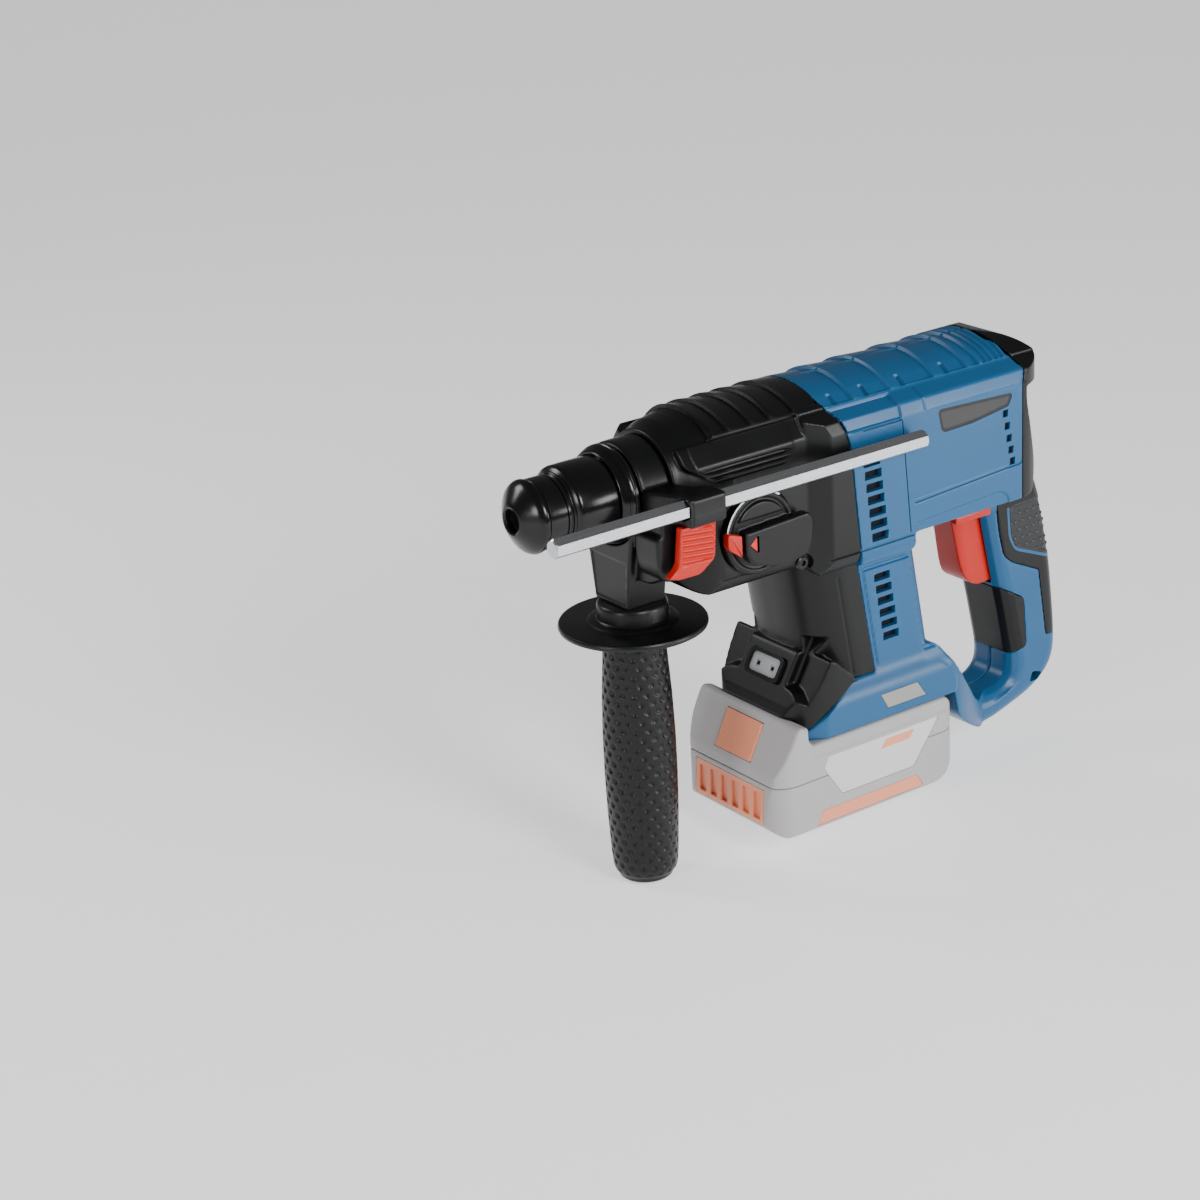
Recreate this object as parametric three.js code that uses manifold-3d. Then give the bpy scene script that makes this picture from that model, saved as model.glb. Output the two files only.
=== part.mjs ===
// Cordless rotary hammer with a slide-on battery pack, a clamped side handle and a depth rod.
// Millimetres, +Z up. The hammer axis runs along X with the chuck at the -X end, and the
// handle loop is at the +X end. Shapes are written from the tip of the nose (x = 0, y = 0,
// z = 0 on the hammer axis), and the whole tool is then set on the middle of the battery's
// underside, which is the origin.
import * as THREE from 'three';
import { mergeVertices } from 'three/addons/utils/BufferGeometryUtils.js';
import Module from 'manifold-3d';

const wasm = await Module();
wasm.setup();

// Driving dimensions
const GAP = 0.3; // between pieces that meet
const WALL = 2.8; // moulded shells
const SKIN = 2.6; // soft overmould
const BODY_HALF = 36.5; // half width of the blue body and the foot
const GEAR_HALF = 30.8; // half width of the gear housing in front of the raised band
const HANDLE_HALF = 17;
const COLUMN_HALF = 32;
const BODY_BOTTOM = -47.6;
const BAND_BOTTOM = -56.5; // lower edge of the raised band over the motor column
const DOME_R = 42;
const DOME_Z = -10;
const COLUMN_LEAN = 0.163; // the motor column leans back by this much for each mm down
const COLUMN_TOP = -51.3;
const BORE_R = 5.3; // opening for a 10 mm tool shank
const NOSE_FRONT = 5.2; // front of the dust cap
const RING_FRONT = 60; // clamp ring of the side handle
const RING_REAR = 75.5;
const GRIP_X = 67.4; // axis of the side grip
const GRIP_BOTTOM = -193;
const ROD = { x0: -3.2, length: 210, y: -43.3, z: 0.8, flats: 8 };
const DIAL = { x: 116.5, z: -25, r: 20 }; // mode selector
const MOTOR_X = 178;
const MOTOR_R = 22.2;
const GEAR_MODULE = 0.8;
const PINION_TEETH = 8;
const WHEEL_TEETH = 40;
const WHEEL_OFFSET = (GEAR_MODULE * (PINION_TEETH + WHEEL_TEETH)) / 2;
const CRANK_X = MOTOR_X + WHEEL_OFFSET;
const BEVEL_X = MOTOR_X - WHEEL_OFFSET;
const BEVEL_PINION_R = 6;
const BEVEL_RING_R = 24;
const BEVEL_PINION_TEETH = 8;
const BEVEL_RING_TEETH = 32;
const CRANK_THROW = 9;
const BATTERY = { front: 117.5, rear: 231, half: 37.5, bottom: -181, top: -137, split: -155 };
const SLOPE_TOP = [149.8, -97.5]; // sloping face that carries the lamp
const SLOPE_FOOT = [136, -121];

// Materials
const finish = (color, roughness, metalness = 0) =>
  new THREE.MeshStandardMaterial({ color, roughness, metalness });
const BLUE = () => finish(0x2f76a6, 0.5);
const BLACK = () => finish(0x17191b, 0.45);
const RUBBER = () => finish(0x202224, 0.85);
const RED = () => finish(0xd8321f, 0.4);
const GREY = () => finish(0x55585b, 0.7);
const STEEL = () => finish(0xb9bcc0, 0.3, 1);
const DARK_STEEL = () => finish(0x6d7074, 0.4, 1);
const COPPER = () => finish(0xb07040, 0.45, 1);
const PACK = () => finish(0xb4b4b8, 0.6);
const SALMON = () => finish(0xf3a58c, 0.55);
const LENS = () => finish(0xe8ecef, 0.15);
const BOARD = () => finish(0x2f6b45, 0.6);

// Closed geometry to solid, and back
function toSolid(geometry, matrix) {
  const bare = new THREE.BufferGeometry();
  bare.setAttribute('position', geometry.getAttribute('position').clone());
  if (geometry.index) bare.setIndex(geometry.index);
  bare.applyMatrix4(matrix);
  const merged = mergeVertices(bare, 1e-4);
  const vertices = merged.getAttribute('position').array;
  const triangles = [];
  let volume = 0;
  const point = (i) => new THREE.Vector3().fromArray(vertices, 3 * i);
  for (let i = 0; i < merged.index.count; i += 3) {
    const [a, b, c] = [0, 1, 2].map((k) => merged.index.getX(i + k));
    if (a === b || b === c || c === a) continue;
    triangles.push(a, b, c);
    volume += point(a).dot(point(b).cross(point(c)));
  }
  if (volume < 0) triangles.reverse();
  return new wasm.Manifold(new wasm.Mesh({
    numProp: 3,
    vertProperties: new Float32Array(vertices),
    triVerts: new Uint32Array(triangles),
  }));
}

function toGeometry(solid) {
  const mesh = solid.getMesh();
  const geometry = new THREE.BufferGeometry();
  geometry.setAttribute('position', new THREE.BufferAttribute(mesh.vertProperties, mesh.numProp));
  geometry.setIndex(new THREE.BufferAttribute(mesh.triVerts, 1));
  geometry.computeVertexNormals();
  return geometry;
}

// An outline is a list of [a, b] or [a, b, corner cut]
function shapeOf(points, corner = 0) {
  const shape = new THREE.Shape();
  const at = (i) => new THREE.Vector2(...points[(i + points.length) % points.length]);
  points.forEach((entry, i) => {
    const p = at(i);
    const cut = entry[2] ?? corner;
    const back = at(i - 1).sub(p);
    const ahead = at(i + 1).sub(p);
    const start = p.clone().add(back.clone().setLength(Math.min(cut, back.length() * 0.45)));
    const end = p.clone().add(ahead.clone().setLength(Math.min(cut, ahead.length() * 0.45)));
    if (i === 0) shape.moveTo(start.x, start.y);
    else shape.lineTo(start.x, start.y);
    if (cut) shape.quadraticCurveTo(p.x, p.y, end.x, end.y);
  });
  return shape;
}

const AXES = {
  x: [new THREE.Vector3(0, 1, 0), new THREE.Vector3(0, 0, 1), new THREE.Vector3(1, 0, 0)],
  y: [new THREE.Vector3(1, 0, 0), new THREE.Vector3(0, 0, 1), new THREE.Vector3(0, -1, 0)],
  z: [new THREE.Vector3(1, 0, 0), new THREE.Vector3(0, 1, 0), new THREE.Vector3(0, 0, 1)],
};

// A prism from low to high along an axis. The outline is in (y, z), (x, z) or (x, y).
function prism(axis, points, low, high, { corner = 0, bevel = 0, segments = 2 } = {}) {
  const geometry = new THREE.ExtrudeGeometry(shapeOf(points, corner), {
    depth: high - low - 2 * bevel,
    bevelEnabled: bevel > 0,
    bevelThickness: bevel,
    bevelSize: bevel,
    bevelOffset: -bevel,
    bevelSegments: 1,
    curveSegments: segments,
  });
  const matrix = new THREE.Matrix4().makeBasis(...AXES[axis]);
  const start = axis === 'y' ? -high + bevel : low + bevel;
  return toSolid(geometry.translate(0, 0, start), matrix);
}

// A solid of revolution from [axial, radius] points, about an axis through a centre
function revolve(axis, profile, centre = [0, 0, 0], segments = 24) {
  const points = profile.map(([axial, radius]) => new THREE.Vector2(radius, axial));
  const open = profile[0][1] > 0;
  if (open) points.push(points[0].clone());
  const along = { x: AXES.x[2], y: new THREE.Vector3(0, 1, 0), z: AXES.z[2] }[axis];
  const across = axis === 'x' ? AXES.z[2] : AXES.z[0];
  const matrix = new THREE.Matrix4()
    .makeBasis(across, along, across.clone().cross(along))
    .setPosition(...centre);
  return toSolid(new THREE.LatheGeometry(points, segments), matrix);
}

const rod = (axis, from, to, radius, centre, segments) =>
  revolve(axis, [[from, 0], [from, radius], [to, radius], [to, 0]], centre, segments);
const tube = (axis, from, to, inner, outer, centre, segments) =>
  revolve(axis, [[from, inner], [from, outer], [to, outer], [to, inner]], centre, segments);
const box = (x, y, z) =>
  prism('z', [[x[0], y[0]], [x[1], y[0]], [x[1], y[1]], [x[0], y[1]]], z[0], z[1]);
const mirrorPoints = (points) =>
  [...points, ...points.map(([a, b, cut]) => [a, -b, cut]).reverse()];
const mirrorSection = (points) =>
  [...points, ...points.map(([a, b, cut]) => [-a, b, cut]).reverse()];
const union = (...solids) => solids.reduce((all, one) => all.add(one));

// The outline with every edge moved inwards by a distance
function inset(points, distance) {
  const turn = THREE.ShapeUtils.isClockWise(points.map(([x, y]) => ({ x, y }))) ? -1 : 1;
  const at = (i) => new THREE.Vector2(...points[(i + points.length) % points.length]);
  return points.map((entry, i) => {
    const p = at(i);
    const before = p.clone().sub(at(i - 1)).normalize();
    const after = at(i + 1).sub(p).normalize();
    const n1 = new THREE.Vector2(-before.y, before.x).multiplyScalar(turn);
    const n2 = new THREE.Vector2(-after.y, after.x).multiplyScalar(turn);
    const mid = n1.clone().add(n2).normalize();
    const reach = distance / Math.max(mid.dot(n1), 0.5);
    return [p.x + mid.x * reach, p.y + mid.y * reach, entry[2]];
  });
}

// Body sections and outlines
function domePoints(radius, halfWidth, steps = 5) {
  const reach = Math.asin(halfWidth / radius);
  return Array.from({ length: steps + 1 }, (_, i) => {
    const angle = (-reach * (steps - i)) / steps;
    return [radius * Math.sin(angle), DOME_Z + radius * Math.cos(angle)];
  });
}

function bodySection(half, ridge, bottom, depth = 0) {
  const side = ridge
    ? [[-half + depth, 11.5 - depth], [-34.7 + depth, 17.3 - depth], [-26.8 + depth, 21.6 - depth]]
    : [[-half + depth, 13.5 - depth], [-25.5 + depth, 20.5 - depth]];
  const dome = domePoints(DOME_R - depth, 23.5 - depth / 2);
  const points = [
    [-half + depth + 4, bottom + depth], [-half + depth, bottom + depth + 7],
    ...side, ...dome.slice(0, -1),
  ];
  return [...points, dome.at(-1), ...points.map(([y, z]) => [-y, z]).reverse()];
}

// Where the black front meets the blue body, from the top down to the foot
const BOUNDARY = [
  [159, 40], [160, 25], [166, 12], [169, 3], [171, -20], [174, -50], [175.4, -60],
  [184.6, -113.3], [167.6, -113.3], [139.7, -133.7],
];
const blackRegion = (shift) => prism('y', [
  ...BOUNDARY.map(([x, z], i) => (i < 8 ? [x + shift, z + (i === 7 ? -shift : 0)] : [x, z - shift])),
  [120, -133.7 - shift], [40, -133.7], [40, 40],
], -60, 60);

const OPENING = [
  [213.3, -47.6], [216.4, -73], [221.4, -103], [225, -111], [241, -133], [256, -151],
  [264, -156.5, 4], [281, -156.5, 5], [288.5, -152, 4], [290, -144], [283.3, -112],
  [279.5, -97], [271.5, -60], [246, -60], [246, -47.6],
];
const HANDLE = [
  [215, -30], [297, -30], [304.5, -43], [309.5, -55], [313.5, -70], [318, -93], [322, -134],
  [321.5, -147, 5], [316, -157, 5], [304, -165], [280, -172.5], [270, -174, 3],
  [264, -171.5], [250, -163], [236, -152], [232.3, -140], [228, -125], [215, -100],
];
const BEAM = [
  [215, -108], [224.2, -109.5], [241, -133], [256, -151], [264, -156.5], [277, -156.5],
  [277, -172.9], [270, -174], [264, -171.5], [250, -163], [236, -152], [232.3, -136.7], [215, -136.7],
];
const UPPER_REAR = [[276.5, 11.2], [280, 8], [280.5, 0], [285, -17], [290.5, -36], [287, -47.6]];
const upperOutline = (depth) => inset([
  [150, BAND_BOTTOM], [150, 40], [262, 40], [262, 32.2], [272, 31.8], [277.5, 22], [278.3, 16],
  ...UPPER_REAR, [208, BODY_BOTTOM], [208, BAND_BOTTOM],
], depth);
const rearPlan = (depth) => mirrorPoints([
  [60, BODY_HALF + 1 - depth], [270, BODY_HALF + 1 - depth], [281, 35.5 - depth], [288, 32 - depth],
  [293, 27.5 - depth], [296.5 - depth, 18 - depth],
]);

// Solids shared by several pieces
function upperBlock(depth) {
  return prism('y', upperOutline(depth), -50, 50)
    .intersect(prism('x', bodySection(BODY_HALF, true, -60, depth), 100, 330))
    .intersect(prism('z', rearPlan(depth), -70, 60));
}

function columnBlock(depth, top, bottom) {
  const plan = mirrorPoints([
    [143.7 + depth, 9], [146 + depth, 20 - depth], [152 + depth, 28 - depth],
    [162, COLUMN_HALF - depth], [206, COLUMN_HALF - depth], [213.3 - depth, 26 - depth],
  ]);
  const geometry = new THREE.ExtrudeGeometry(shapeOf(plan), {
    depth: top - bottom, bevelEnabled: false,
  });
  const lean = new THREE.Matrix4().set(
    1, 0, -COLUMN_LEAN, COLUMN_LEAN * COLUMN_TOP,
    0, 1, 0, 0,
    0, 0, 1, 0,
    0, 0, 0, 1,
  );
  return toSolid(geometry.translate(0, 0, bottom), lean);
}

function footSection(depth) {
  return mirrorSection([
    [-BODY_HALF + depth, -200], [-BODY_HALF + depth, -121 - depth], [-COLUMN_HALF + depth, -113 - depth],
    [-COLUMN_HALF + depth, -90 - depth],
  ]);
}

function footBlock(depth) {
  const outline = [
    [139.5, -133.9], [167.6, -108 - depth], [215, -108 - depth],
    [233 - depth, -129], [232.3 - depth, -136.7], [141.4, -136.7],
  ];
  return prism('y', outline, -50, 50).intersect(prism('x', footSection(depth), 100, 260));
}

function beamBlock(depth) {
  const plan = mirrorPoints([
    [210, BODY_HALF - depth], [233, BODY_HALF - depth], [246, 31 - depth], [262, 21 - depth],
    [277, 12 - depth],
  ]);
  return prism('y', inset(BEAM, depth), -50, 50)
    .intersect(prism('z', plan, -200, -90))
    .intersect(prism('x', footSection(depth), 100, 300));
}

function handleBlock(depth) {
  const half = HANDLE_HALF - depth;
  return prism('y', inset(HANDLE, depth), -half, half, { bevel: 4 })
    .subtract(prism('y', inset(OPENING, -depth), -40, 40));
}

const REAR_GRIP_REGION = [
  [276.8, 12], [330, 12], [330, -135], [312, -135], [306.5, -98], [288.5, -89.5], [283.2, -85],
  [280, -71.5], [278, -57], [276.8, -45],
];
const FRONT_GRIP_REGION = [
  [270, -99.8], [283, -102.5], [296.5, -110.5], [298.5, -137.1], [288, -141], [270, -141],
];

// The blue clamshells
function blueShell() {
  const rearGrip = prism('y', REAR_GRIP_REGION, -60, 60);
  const frontGrip = prism('y', FRONT_GRIP_REGION, -60, 60);
  const grips = rearGrip.add(frontGrip);
  const under = SKIN + GAP;
  const outer = union(
    upperBlock(0).add(handleBlock(0)).subtract(grips),
    upperBlock(under).add(handleBlock(under)).intersect(grips),
    columnBlock(0, -50, -122),
    footBlock(0),
    beamBlock(0),
  ).subtract(prism('y', OPENING, -60, 60)).subtract(blackRegion(GAP / 2));
  const inner = union(
    upperBlock(under + WALL).intersect(box([100, 330], [-60, 60], [-60, 60])),
    upperBlock(WALL).intersect(box([100, 272], [-60, 60], [-60, 60])),
    handleBlock(under + WALL - 0.4),
    columnBlock(WALL, -40, -124),
    footBlock(WALL),
    box([150, 228], [-30, 30], [-140, -122]),
  ).subtract(prism('y', inset(OPENING, -WALL), -60, 60));
  const slots = [];
  const slotLean = (z) => 175.5 - (z + 5) * 0.12;
  for (let i = 0; i < 6; i += 1) {
    const z = -9.5 - 6.5 * i;
    slots.push(box([slotLean(z), slotLean(z) + 11], [-50, -30], [z - 2.2, z + 2.2]));
    slots.push(box([slotLean(z), slotLean(z) + 11], [30, 50], [z - 2.2, z + 2.2]));
  }
  for (let i = 0; i < 6; i += 1) {
    const z = -66 - 6.3 * i;
    const x = 184.8 + 1.0 * i;
    slots.push(box([x, x + 10], [-50, -26], [z - 2.1, z + 2.1]));
    slots.push(box([x, x + 10], [26, 50], [z - 2.1, z + 2.1]));
  }
  const insertPocket = insertOutline(GAP);
  return outer
    .subtract(inner)
    .subtract(box([258, 292], [-10, 10], [-100.2, -59.6]))
    .subtract(box([242.7, 266.6], [-60, 60], [-56.8, -50.2]))
    .subtract(box([120, 170], [-28.5, 28.5], [-140, -126.6]))
    .subtract(prism('y', insertPocket, -50, -BODY_HALF + 1.5))
    .subtract(prism('y', insertPocket, BODY_HALF - 1.5, 50))
    .subtract(prism('y', plateOutline(GAP), -50, -BODY_HALF + 0.8))
    .subtract(prism('y', plateOutline(GAP), BODY_HALF - 0.8, 50))
    .subtract(union(...slots));
}

const insertOutline = (grow) => [
  [224 - grow, 8 + grow], [269 + grow, 6 + grow], [267, 2 - grow], [245, -1 - grow],
  [226 - grow, -1.5 - grow],
];
const plateOutline = (grow) => [
  [184 - grow, -124.2 + grow], [207 + grow, -124.2 + grow], [212.5 + grow, -132 - grow],
  [188.5 - grow, -132 - grow],
];

function housingHalves() {
  const holes = union(...SCREWS.map(screwHole));
  const shell = blueShell();
  const left = shell.intersect(box([100, 340], [-60, -GAP / 2], [-200, 60]));
  const right = shell.add(union(...SCREWS.map(screwBoss)).subtract(prism('y', OPENING, -60, 60)))
    .subtract(holes).intersect(box([100, 340], [GAP / 2, 60], [-200, 60]));
  return { left, right };
}

function rearGrip() {
  const region = prism('y', REAR_GRIP_REGION, -60, 60);
  return upperBlock(0).add(handleBlock(0)).intersect(region)
    .subtract(upperBlock(SKIN).add(handleBlock(SKIN)));
}

function frontGrip() {
  const region = prism('y', inset(FRONT_GRIP_REGION, GAP), -60, 60);
  return handleBlock(0).intersect(region).subtract(handleBlock(SKIN));
}

function rearCap() {
  const outline = [
    [272.4, 31.7], [283, 29.5], [290, 25.5], [295, 19.5], [296.5, 13.5], [294, 8.6],
    [287, 7.4], [280.4, 8.4], [277, 11.6], [278.7, 16], [277.9, 22],
  ];
  return prism('y', outline, -50, 50)
    .intersect(prism('x', bodySection(BODY_HALF, true, -60), 100, 330))
    .intersect(prism('z', rearPlan(0), -70, 60));
}

// The black front: gear housing and motor cover
function gearHousing() {
  const nose = revolve('x', [
    [RING_FRONT - 0.5, 14.4], [RING_FRONT - 0.5, 19.9], [76, 19.9], [76, 25.5], [79.5, 26.2],
    [90, 30.2], [98, 32], [104, 32], [104, 14.4],
  ]);
  const outline = [
    [88, 36], [176, 36], [176, BAND_BOTTOM + 5.5], [90, -51], [82, -46], [79.8, -40], [79.8, 20],
  ];
  const front = mirrorPoints([[79.8, 13], [84, 21], [92, 28.5], [98, 31], [180, 31]]);
  const limit = revolve('x', [
    [70, 0], [70, 22], [79, 26], [98, 33], [112, 52], [124, 80], [200, 80], [200, 0],
  ]);
  const slab = prism('y', outline, -50, 50)
    .intersect(prism('x', bodySection(GEAR_HALF, false, -51.2), 70, 180))
    .intersect(prism('z', front, -70, 60));
  const high = slab.intersect(box([60, 200], [-50, 50], [-14, 50])).intersect(limit);
  const low = slab.intersect(box([60, 200], [-50, 50], [-60, -14]));
  const facet = [[25.4, 20.4], [31, 12.2], [31, 3], [20, 3], [20, 19]];
  const strip = union(...[-1, 1].map((side) => prism('x', facet.map(([y, z]) => [side * y, z]), 79.5, 139)))
    .intersect(prism('y', [[79, 24], [139, 24], [139, 3], [97, 3], [86, 9], [79, 12]], -50, 50))
    .intersect(revolve('x', [[70, 0], [70, 21.3], [79.5, 29.4], [85, 33.9], [150, 60], [150, 0]]));
  const band = prism('x', bodySection(BODY_HALF, true, BAND_BOTTOM), 146, 180)
    .intersect(prism('y', [
      [146, -50], [152, BAND_BOTTOM], [180, BAND_BOTTOM], [180, 40], [146, 40],
    ], -50, 50))
    .intersect(prism('z', mirrorPoints([[146, 30], [147, 30.8], [157, BODY_HALF], [180, BODY_HALF]]), -60, 40));
  const outer = union(nose, high, low, strip, band).intersect(blackRegion(-GAP / 2));
  const cavity = union(
    rod('x', 103, 180, 27.5),
    revolve('x', [[83, 0], [83, 22.2], [94.5, 22.2], [94.5, 18], [104, 18], [104, 0]]),
    prism('x', inset(bodySection(GEAR_HALF, false, -51.2), WALL), 128, 180),
    box([146, 180], [-27, 27], [-60, -20]),
    prism('x', inset(bodySection(BODY_HALF, true, BAND_BOTTOM), WALL), 155, 182),
  );
  const dialPocket = rod('y', -GEAR_HALF - 3, -GEAR_HALF + 1.4, DIAL.r + 0.8, [DIAL.x, 0, DIAL.z], 32);
  const selectorHole = rod('y', -GEAR_HALF - 3, -20, 6.4, [DIAL.x, 0, DIAL.z], 16);
  return outer
    .subtract(rod('x', 50, 110, 14.4))
    .subtract(cavity)
    .subtract(dialPocket)
    .subtract(selectorHole);
}

function coverFoot(depth) {
  const outline = inset([
    [139.5, -133.4], [139, -127.5], [134.3, -125.5], SLOPE_FOOT, SLOPE_TOP, [157, -99.5],
    [172, -114.5], [167.5, -113.1],
  ], depth);
  const plan = mirrorPoints([
    [130, 14], [134.2, 22 - depth], [139, 30 - depth], [147, 34.5 - depth], [158, 36 - depth],
    [200, 36 - depth],
  ]);
  return prism('y', outline, -50, 50).intersect(prism('z', plan, -150, -80));
}

function motorCover() {
  const outer = columnBlock(0, -51.5, -113.5)
    .subtract(box([151.3, 200], [-50, 50], [BAND_BOTTOM - GAP, -40]))
    .add(coverFoot(0));
  const window = lampPiece(12.6, 22.6, 8, -4);
  const beside = [[17.5, -90], [17.5, -113], [24, -114], [31, -118.5], [37, -123], [50, -123], [50, -90]];
  const shoulder = prism('x', beside, 120, 160).add(prism('x', beside.map(([y, z]) => [-y, z]), 120, 160))
    .intersect(lampPiece(60, 90, 14, -9));
  return outer
    .subtract(shoulder)
    .intersect(blackRegion(-GAP / 2))
    .subtract(columnBlock(WALL, -40, -116))
    .subtract(box([152, 175], [-27, 27], [-128, -105]))
    .subtract(box([120, 176], [-28.5, 28.5], [-140, -126.6]))
    .subtract(window);
}

// A block on the sloping lamp face: length down the slope, width along Y, from depth to proud
function lampPiece(length, width, thickness, proud) {
  const slope = new THREE.Vector2(SLOPE_FOOT[0] - SLOPE_TOP[0], SLOPE_FOOT[1] - SLOPE_TOP[1]).normalize();
  const normal = new THREE.Vector2(slope.y, -slope.x);
  const middle = new THREE.Vector2(143.6, -108);
  const corner = (along, out) => middle.clone()
    .addScaledVector(slope, along).addScaledVector(normal, out).toArray();
  const out = -proud;
  const back = -proud - thickness;
  return prism('y', [
    corner(-length / 2, out), corner(length / 2, out), corner(length / 2, back), corner(-length / 2, back),
  ], -width / 2, width / 2);
}

// Chuck
const dustCap = () => revolve('x', [
  [NOSE_FRONT, BORE_R + 1], [NOSE_FRONT, 7.4], [6.3, 9.2], [8.8, 12.9], [10.6, 15.4], [12.6, 16.8],
  [14.2, 17], [15, 16.6], [15, 9.8], [8.2, 9.8], [8.2, BORE_R], [NOSE_FRONT + 1, BORE_R],
]);
const chuckRing = () => tube('x', 15.4, 27.2, 9.8, 16.4);
const lockingSleeve = () => revolve('x', [
  [27.6, 9.8], [27.6, 17], [29.4, 18.7], [30.4, 19.2], [50.4, 19.4], [50.4, 17], [31, 17], [31, 9.8],
]);
const guardRing = () => revolve('x', [
  [50.8, 19.8], [50.8, 20.6], [54.5, 22.7], [58.6, 23], [58.6, 9.8], [57.2, 9.8], [57.2, 19.8],
]);
const hammerTube = () => revolve('x', [
  [8.6, 5.1], [8.6, 9.5], [59, 9.5], [59, 13.9], [158, 13.9], [158, 10.5], [76, 10.5], [76, 7.2],
  [50, 7.2], [50, 5.1],
], [0, 0, 0], 24).subtract(box([31.6, 40.4], [-3.5, 3.5], [4, 12]));
const lockingBall = () => toSolid(
  new THREE.SphereGeometry(2.7, 12, 8), new THREE.Matrix4().makeTranslation(36, 0, 6.7),
);

class Helix extends THREE.Curve {
  constructor(from, to, radius, turns) {
    super();
    Object.assign(this, { from, to, radius, turns });
  }

  getPoint(t, target = new THREE.Vector3()) {
    const angle = 2 * Math.PI * this.turns * t;
    const x = this.from + (this.to - this.from) * t;
    return target.set(x, this.radius * Math.cos(angle), this.radius * Math.sin(angle));
  }
}

function sleeveSpring() {
  const wire = new THREE.Shape().absarc(0, 0, 0.8, 0, 2 * Math.PI);
  const geometry = new THREE.ExtrudeGeometry(wire, {
    steps: 48, curveSegments: 3, extrudePath: new Helix(32.2, 56.2, 13.6, 5),
  });
  return toSolid(geometry, new THREE.Matrix4());
}

// Hammer mechanism
const impactBolt = () => revolve('x', [
  [44, 0], [44, 4.8], [58, 4.8], [59, 6.9], [72, 6.9], [73, 5], [76, 5], [76, 0],
]);
const striker = () => revolve('x', [[84, 0], [84, 6], [87, 6], [88, 10.2], [104, 10.2], [104, 0]]);
const piston = () => revolve('x', [
  [128, 0], [128, 10.2], [150, 10.2], [150, 8], [133, 8], [133, 0],
]);
const connectingRod = () => union(
  rod('z', -4, 4, 5, [140, 0, 0], 16),
  box([139, CRANK_X - CRANK_THROW], [-2.6, 2.6], [-3, 3]),
  rod('z', -4, 4, 6.8, [CRANK_X - CRANK_THROW, 0, 0], 16),
).subtract(rod('z', -6, 6, 3.4, [CRANK_X - CRANK_THROW, 0, 0], 12));

// Straight-flanked spur teeth, with running clearance
function spurOutline(teeth, phase) {
  const pitch = (GEAR_MODULE * teeth) / 2;
  const points = [];
  for (let i = 0; i < teeth; i += 1) {
    const step = (2 * Math.PI) / teeth;
    const at = (radius, part) => {
      const angle = step * (i + part) + phase;
      points.push([radius * Math.cos(angle), radius * Math.sin(angle)]);
    };
    at(pitch - 1.15 * GEAR_MODULE, -0.27);
    at(pitch + 0.75 * GEAR_MODULE, -0.1);
    at(pitch + 0.75 * GEAR_MODULE, 0.1);
    at(pitch - 1.15 * GEAR_MODULE, 0.27);
  }
  return points;
}
const placed = (outline, x) => outline.map(([a, b]) => [a + x, b]);

const rotorShaft = () => union(
  rod('z', -119, -40, 2.5, [MOTOR_X, 0, 0], 12),
  prism('z', placed(spurOutline(PINION_TEETH, 0), MOTOR_X), -44, -33),
);
const rotorCore = () => tube('z', -105, -61, 2.8, 12.6, [MOTOR_X, 0, 0], 16);
const fan = () => union(
  tube('z', -111.5, -110.2, 2.8, 21, [MOTOR_X, 0, 0], 24),
  tube('z', -111.5, -107, 2.8, 6, [MOTOR_X, 0, 0], 12),
  ...Array.from({ length: 8 }, (_, i) => fanBlade((i * Math.PI) / 4)),
);
function fanBlade(angle) {
  const turn = new THREE.Matrix4().makeRotationZ(angle);
  turn.setPosition(MOTOR_X, 0, 0);
  return toSolid(new THREE.BoxGeometry(13, 1, 4).translate(13.5, 0, -108.8), turn);
}

function crankWheel() {
  const x = CRANK_X;
  const half = Math.PI / WHEEL_TEETH;
  return union(
    prism('z', placed(spurOutline(WHEEL_TEETH, half), x), -43, -35),
    rod('z', -52, -34, 4, [x, 0, 0], 12),
    rod('z', -36, -28, 13, [x, 0, 0], 20),
    rod('z', -30, -4.8, 3, [x - CRANK_THROW, 0, 0], 12),
  );
}

// Straight bevel teeth point at the crossing of the two axes
function bevelTeeth(teeth, radius, height, phase, place) {
  const near = 0.82;
  return Array.from({ length: teeth }, (_, i) => {
    const angle = (2 * Math.PI * i) / teeth + phase;
    const halfTooth = (Math.PI * radius) / teeth * 0.42;
    const slant = Math.hypot(radius, height);
    const across = new THREE.Vector3(-Math.sin(angle), Math.cos(angle), 0);
    const out = new THREE.Vector3(Math.cos(angle), Math.sin(angle), 0);
    const along = out.clone().multiplyScalar(radius).add(new THREE.Vector3(0, 0, -height));
    const normal = out.clone().multiplyScalar(height / slant).add(new THREE.Vector3(0, 0, radius / slant));
    const vertices = [];
    for (const scale of [near, 1]) {
      for (const [lift, width] of [[-1.1, 1.25], [0.75, 0.5]]) {
        for (const sign of [-1, 1]) {
          vertices.push(along.clone()
            .addScaledVector(normal, lift)
            .addScaledVector(across, sign * width * halfTooth)
            .multiplyScalar(scale).applyMatrix4(place));
        }
      }
    }
    return frustum(vertices);
  });
}

function frustum(v) {
  const faces = [[0, 2, 3, 1], [4, 5, 7, 6], [0, 1, 5, 4], [2, 6, 7, 3], [0, 4, 6, 2], [1, 3, 7, 5]];
  const positions = faces.flatMap(([a, b, c, d]) => [a, b, c, a, c, d].flatMap((i) => v[i].toArray()));
  const geometry = new THREE.BufferGeometry();
  geometry.setAttribute('position', new THREE.Float32BufferAttribute(positions, 3));
  return toSolid(mergeVertices(geometry), new THREE.Matrix4());
}

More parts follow.
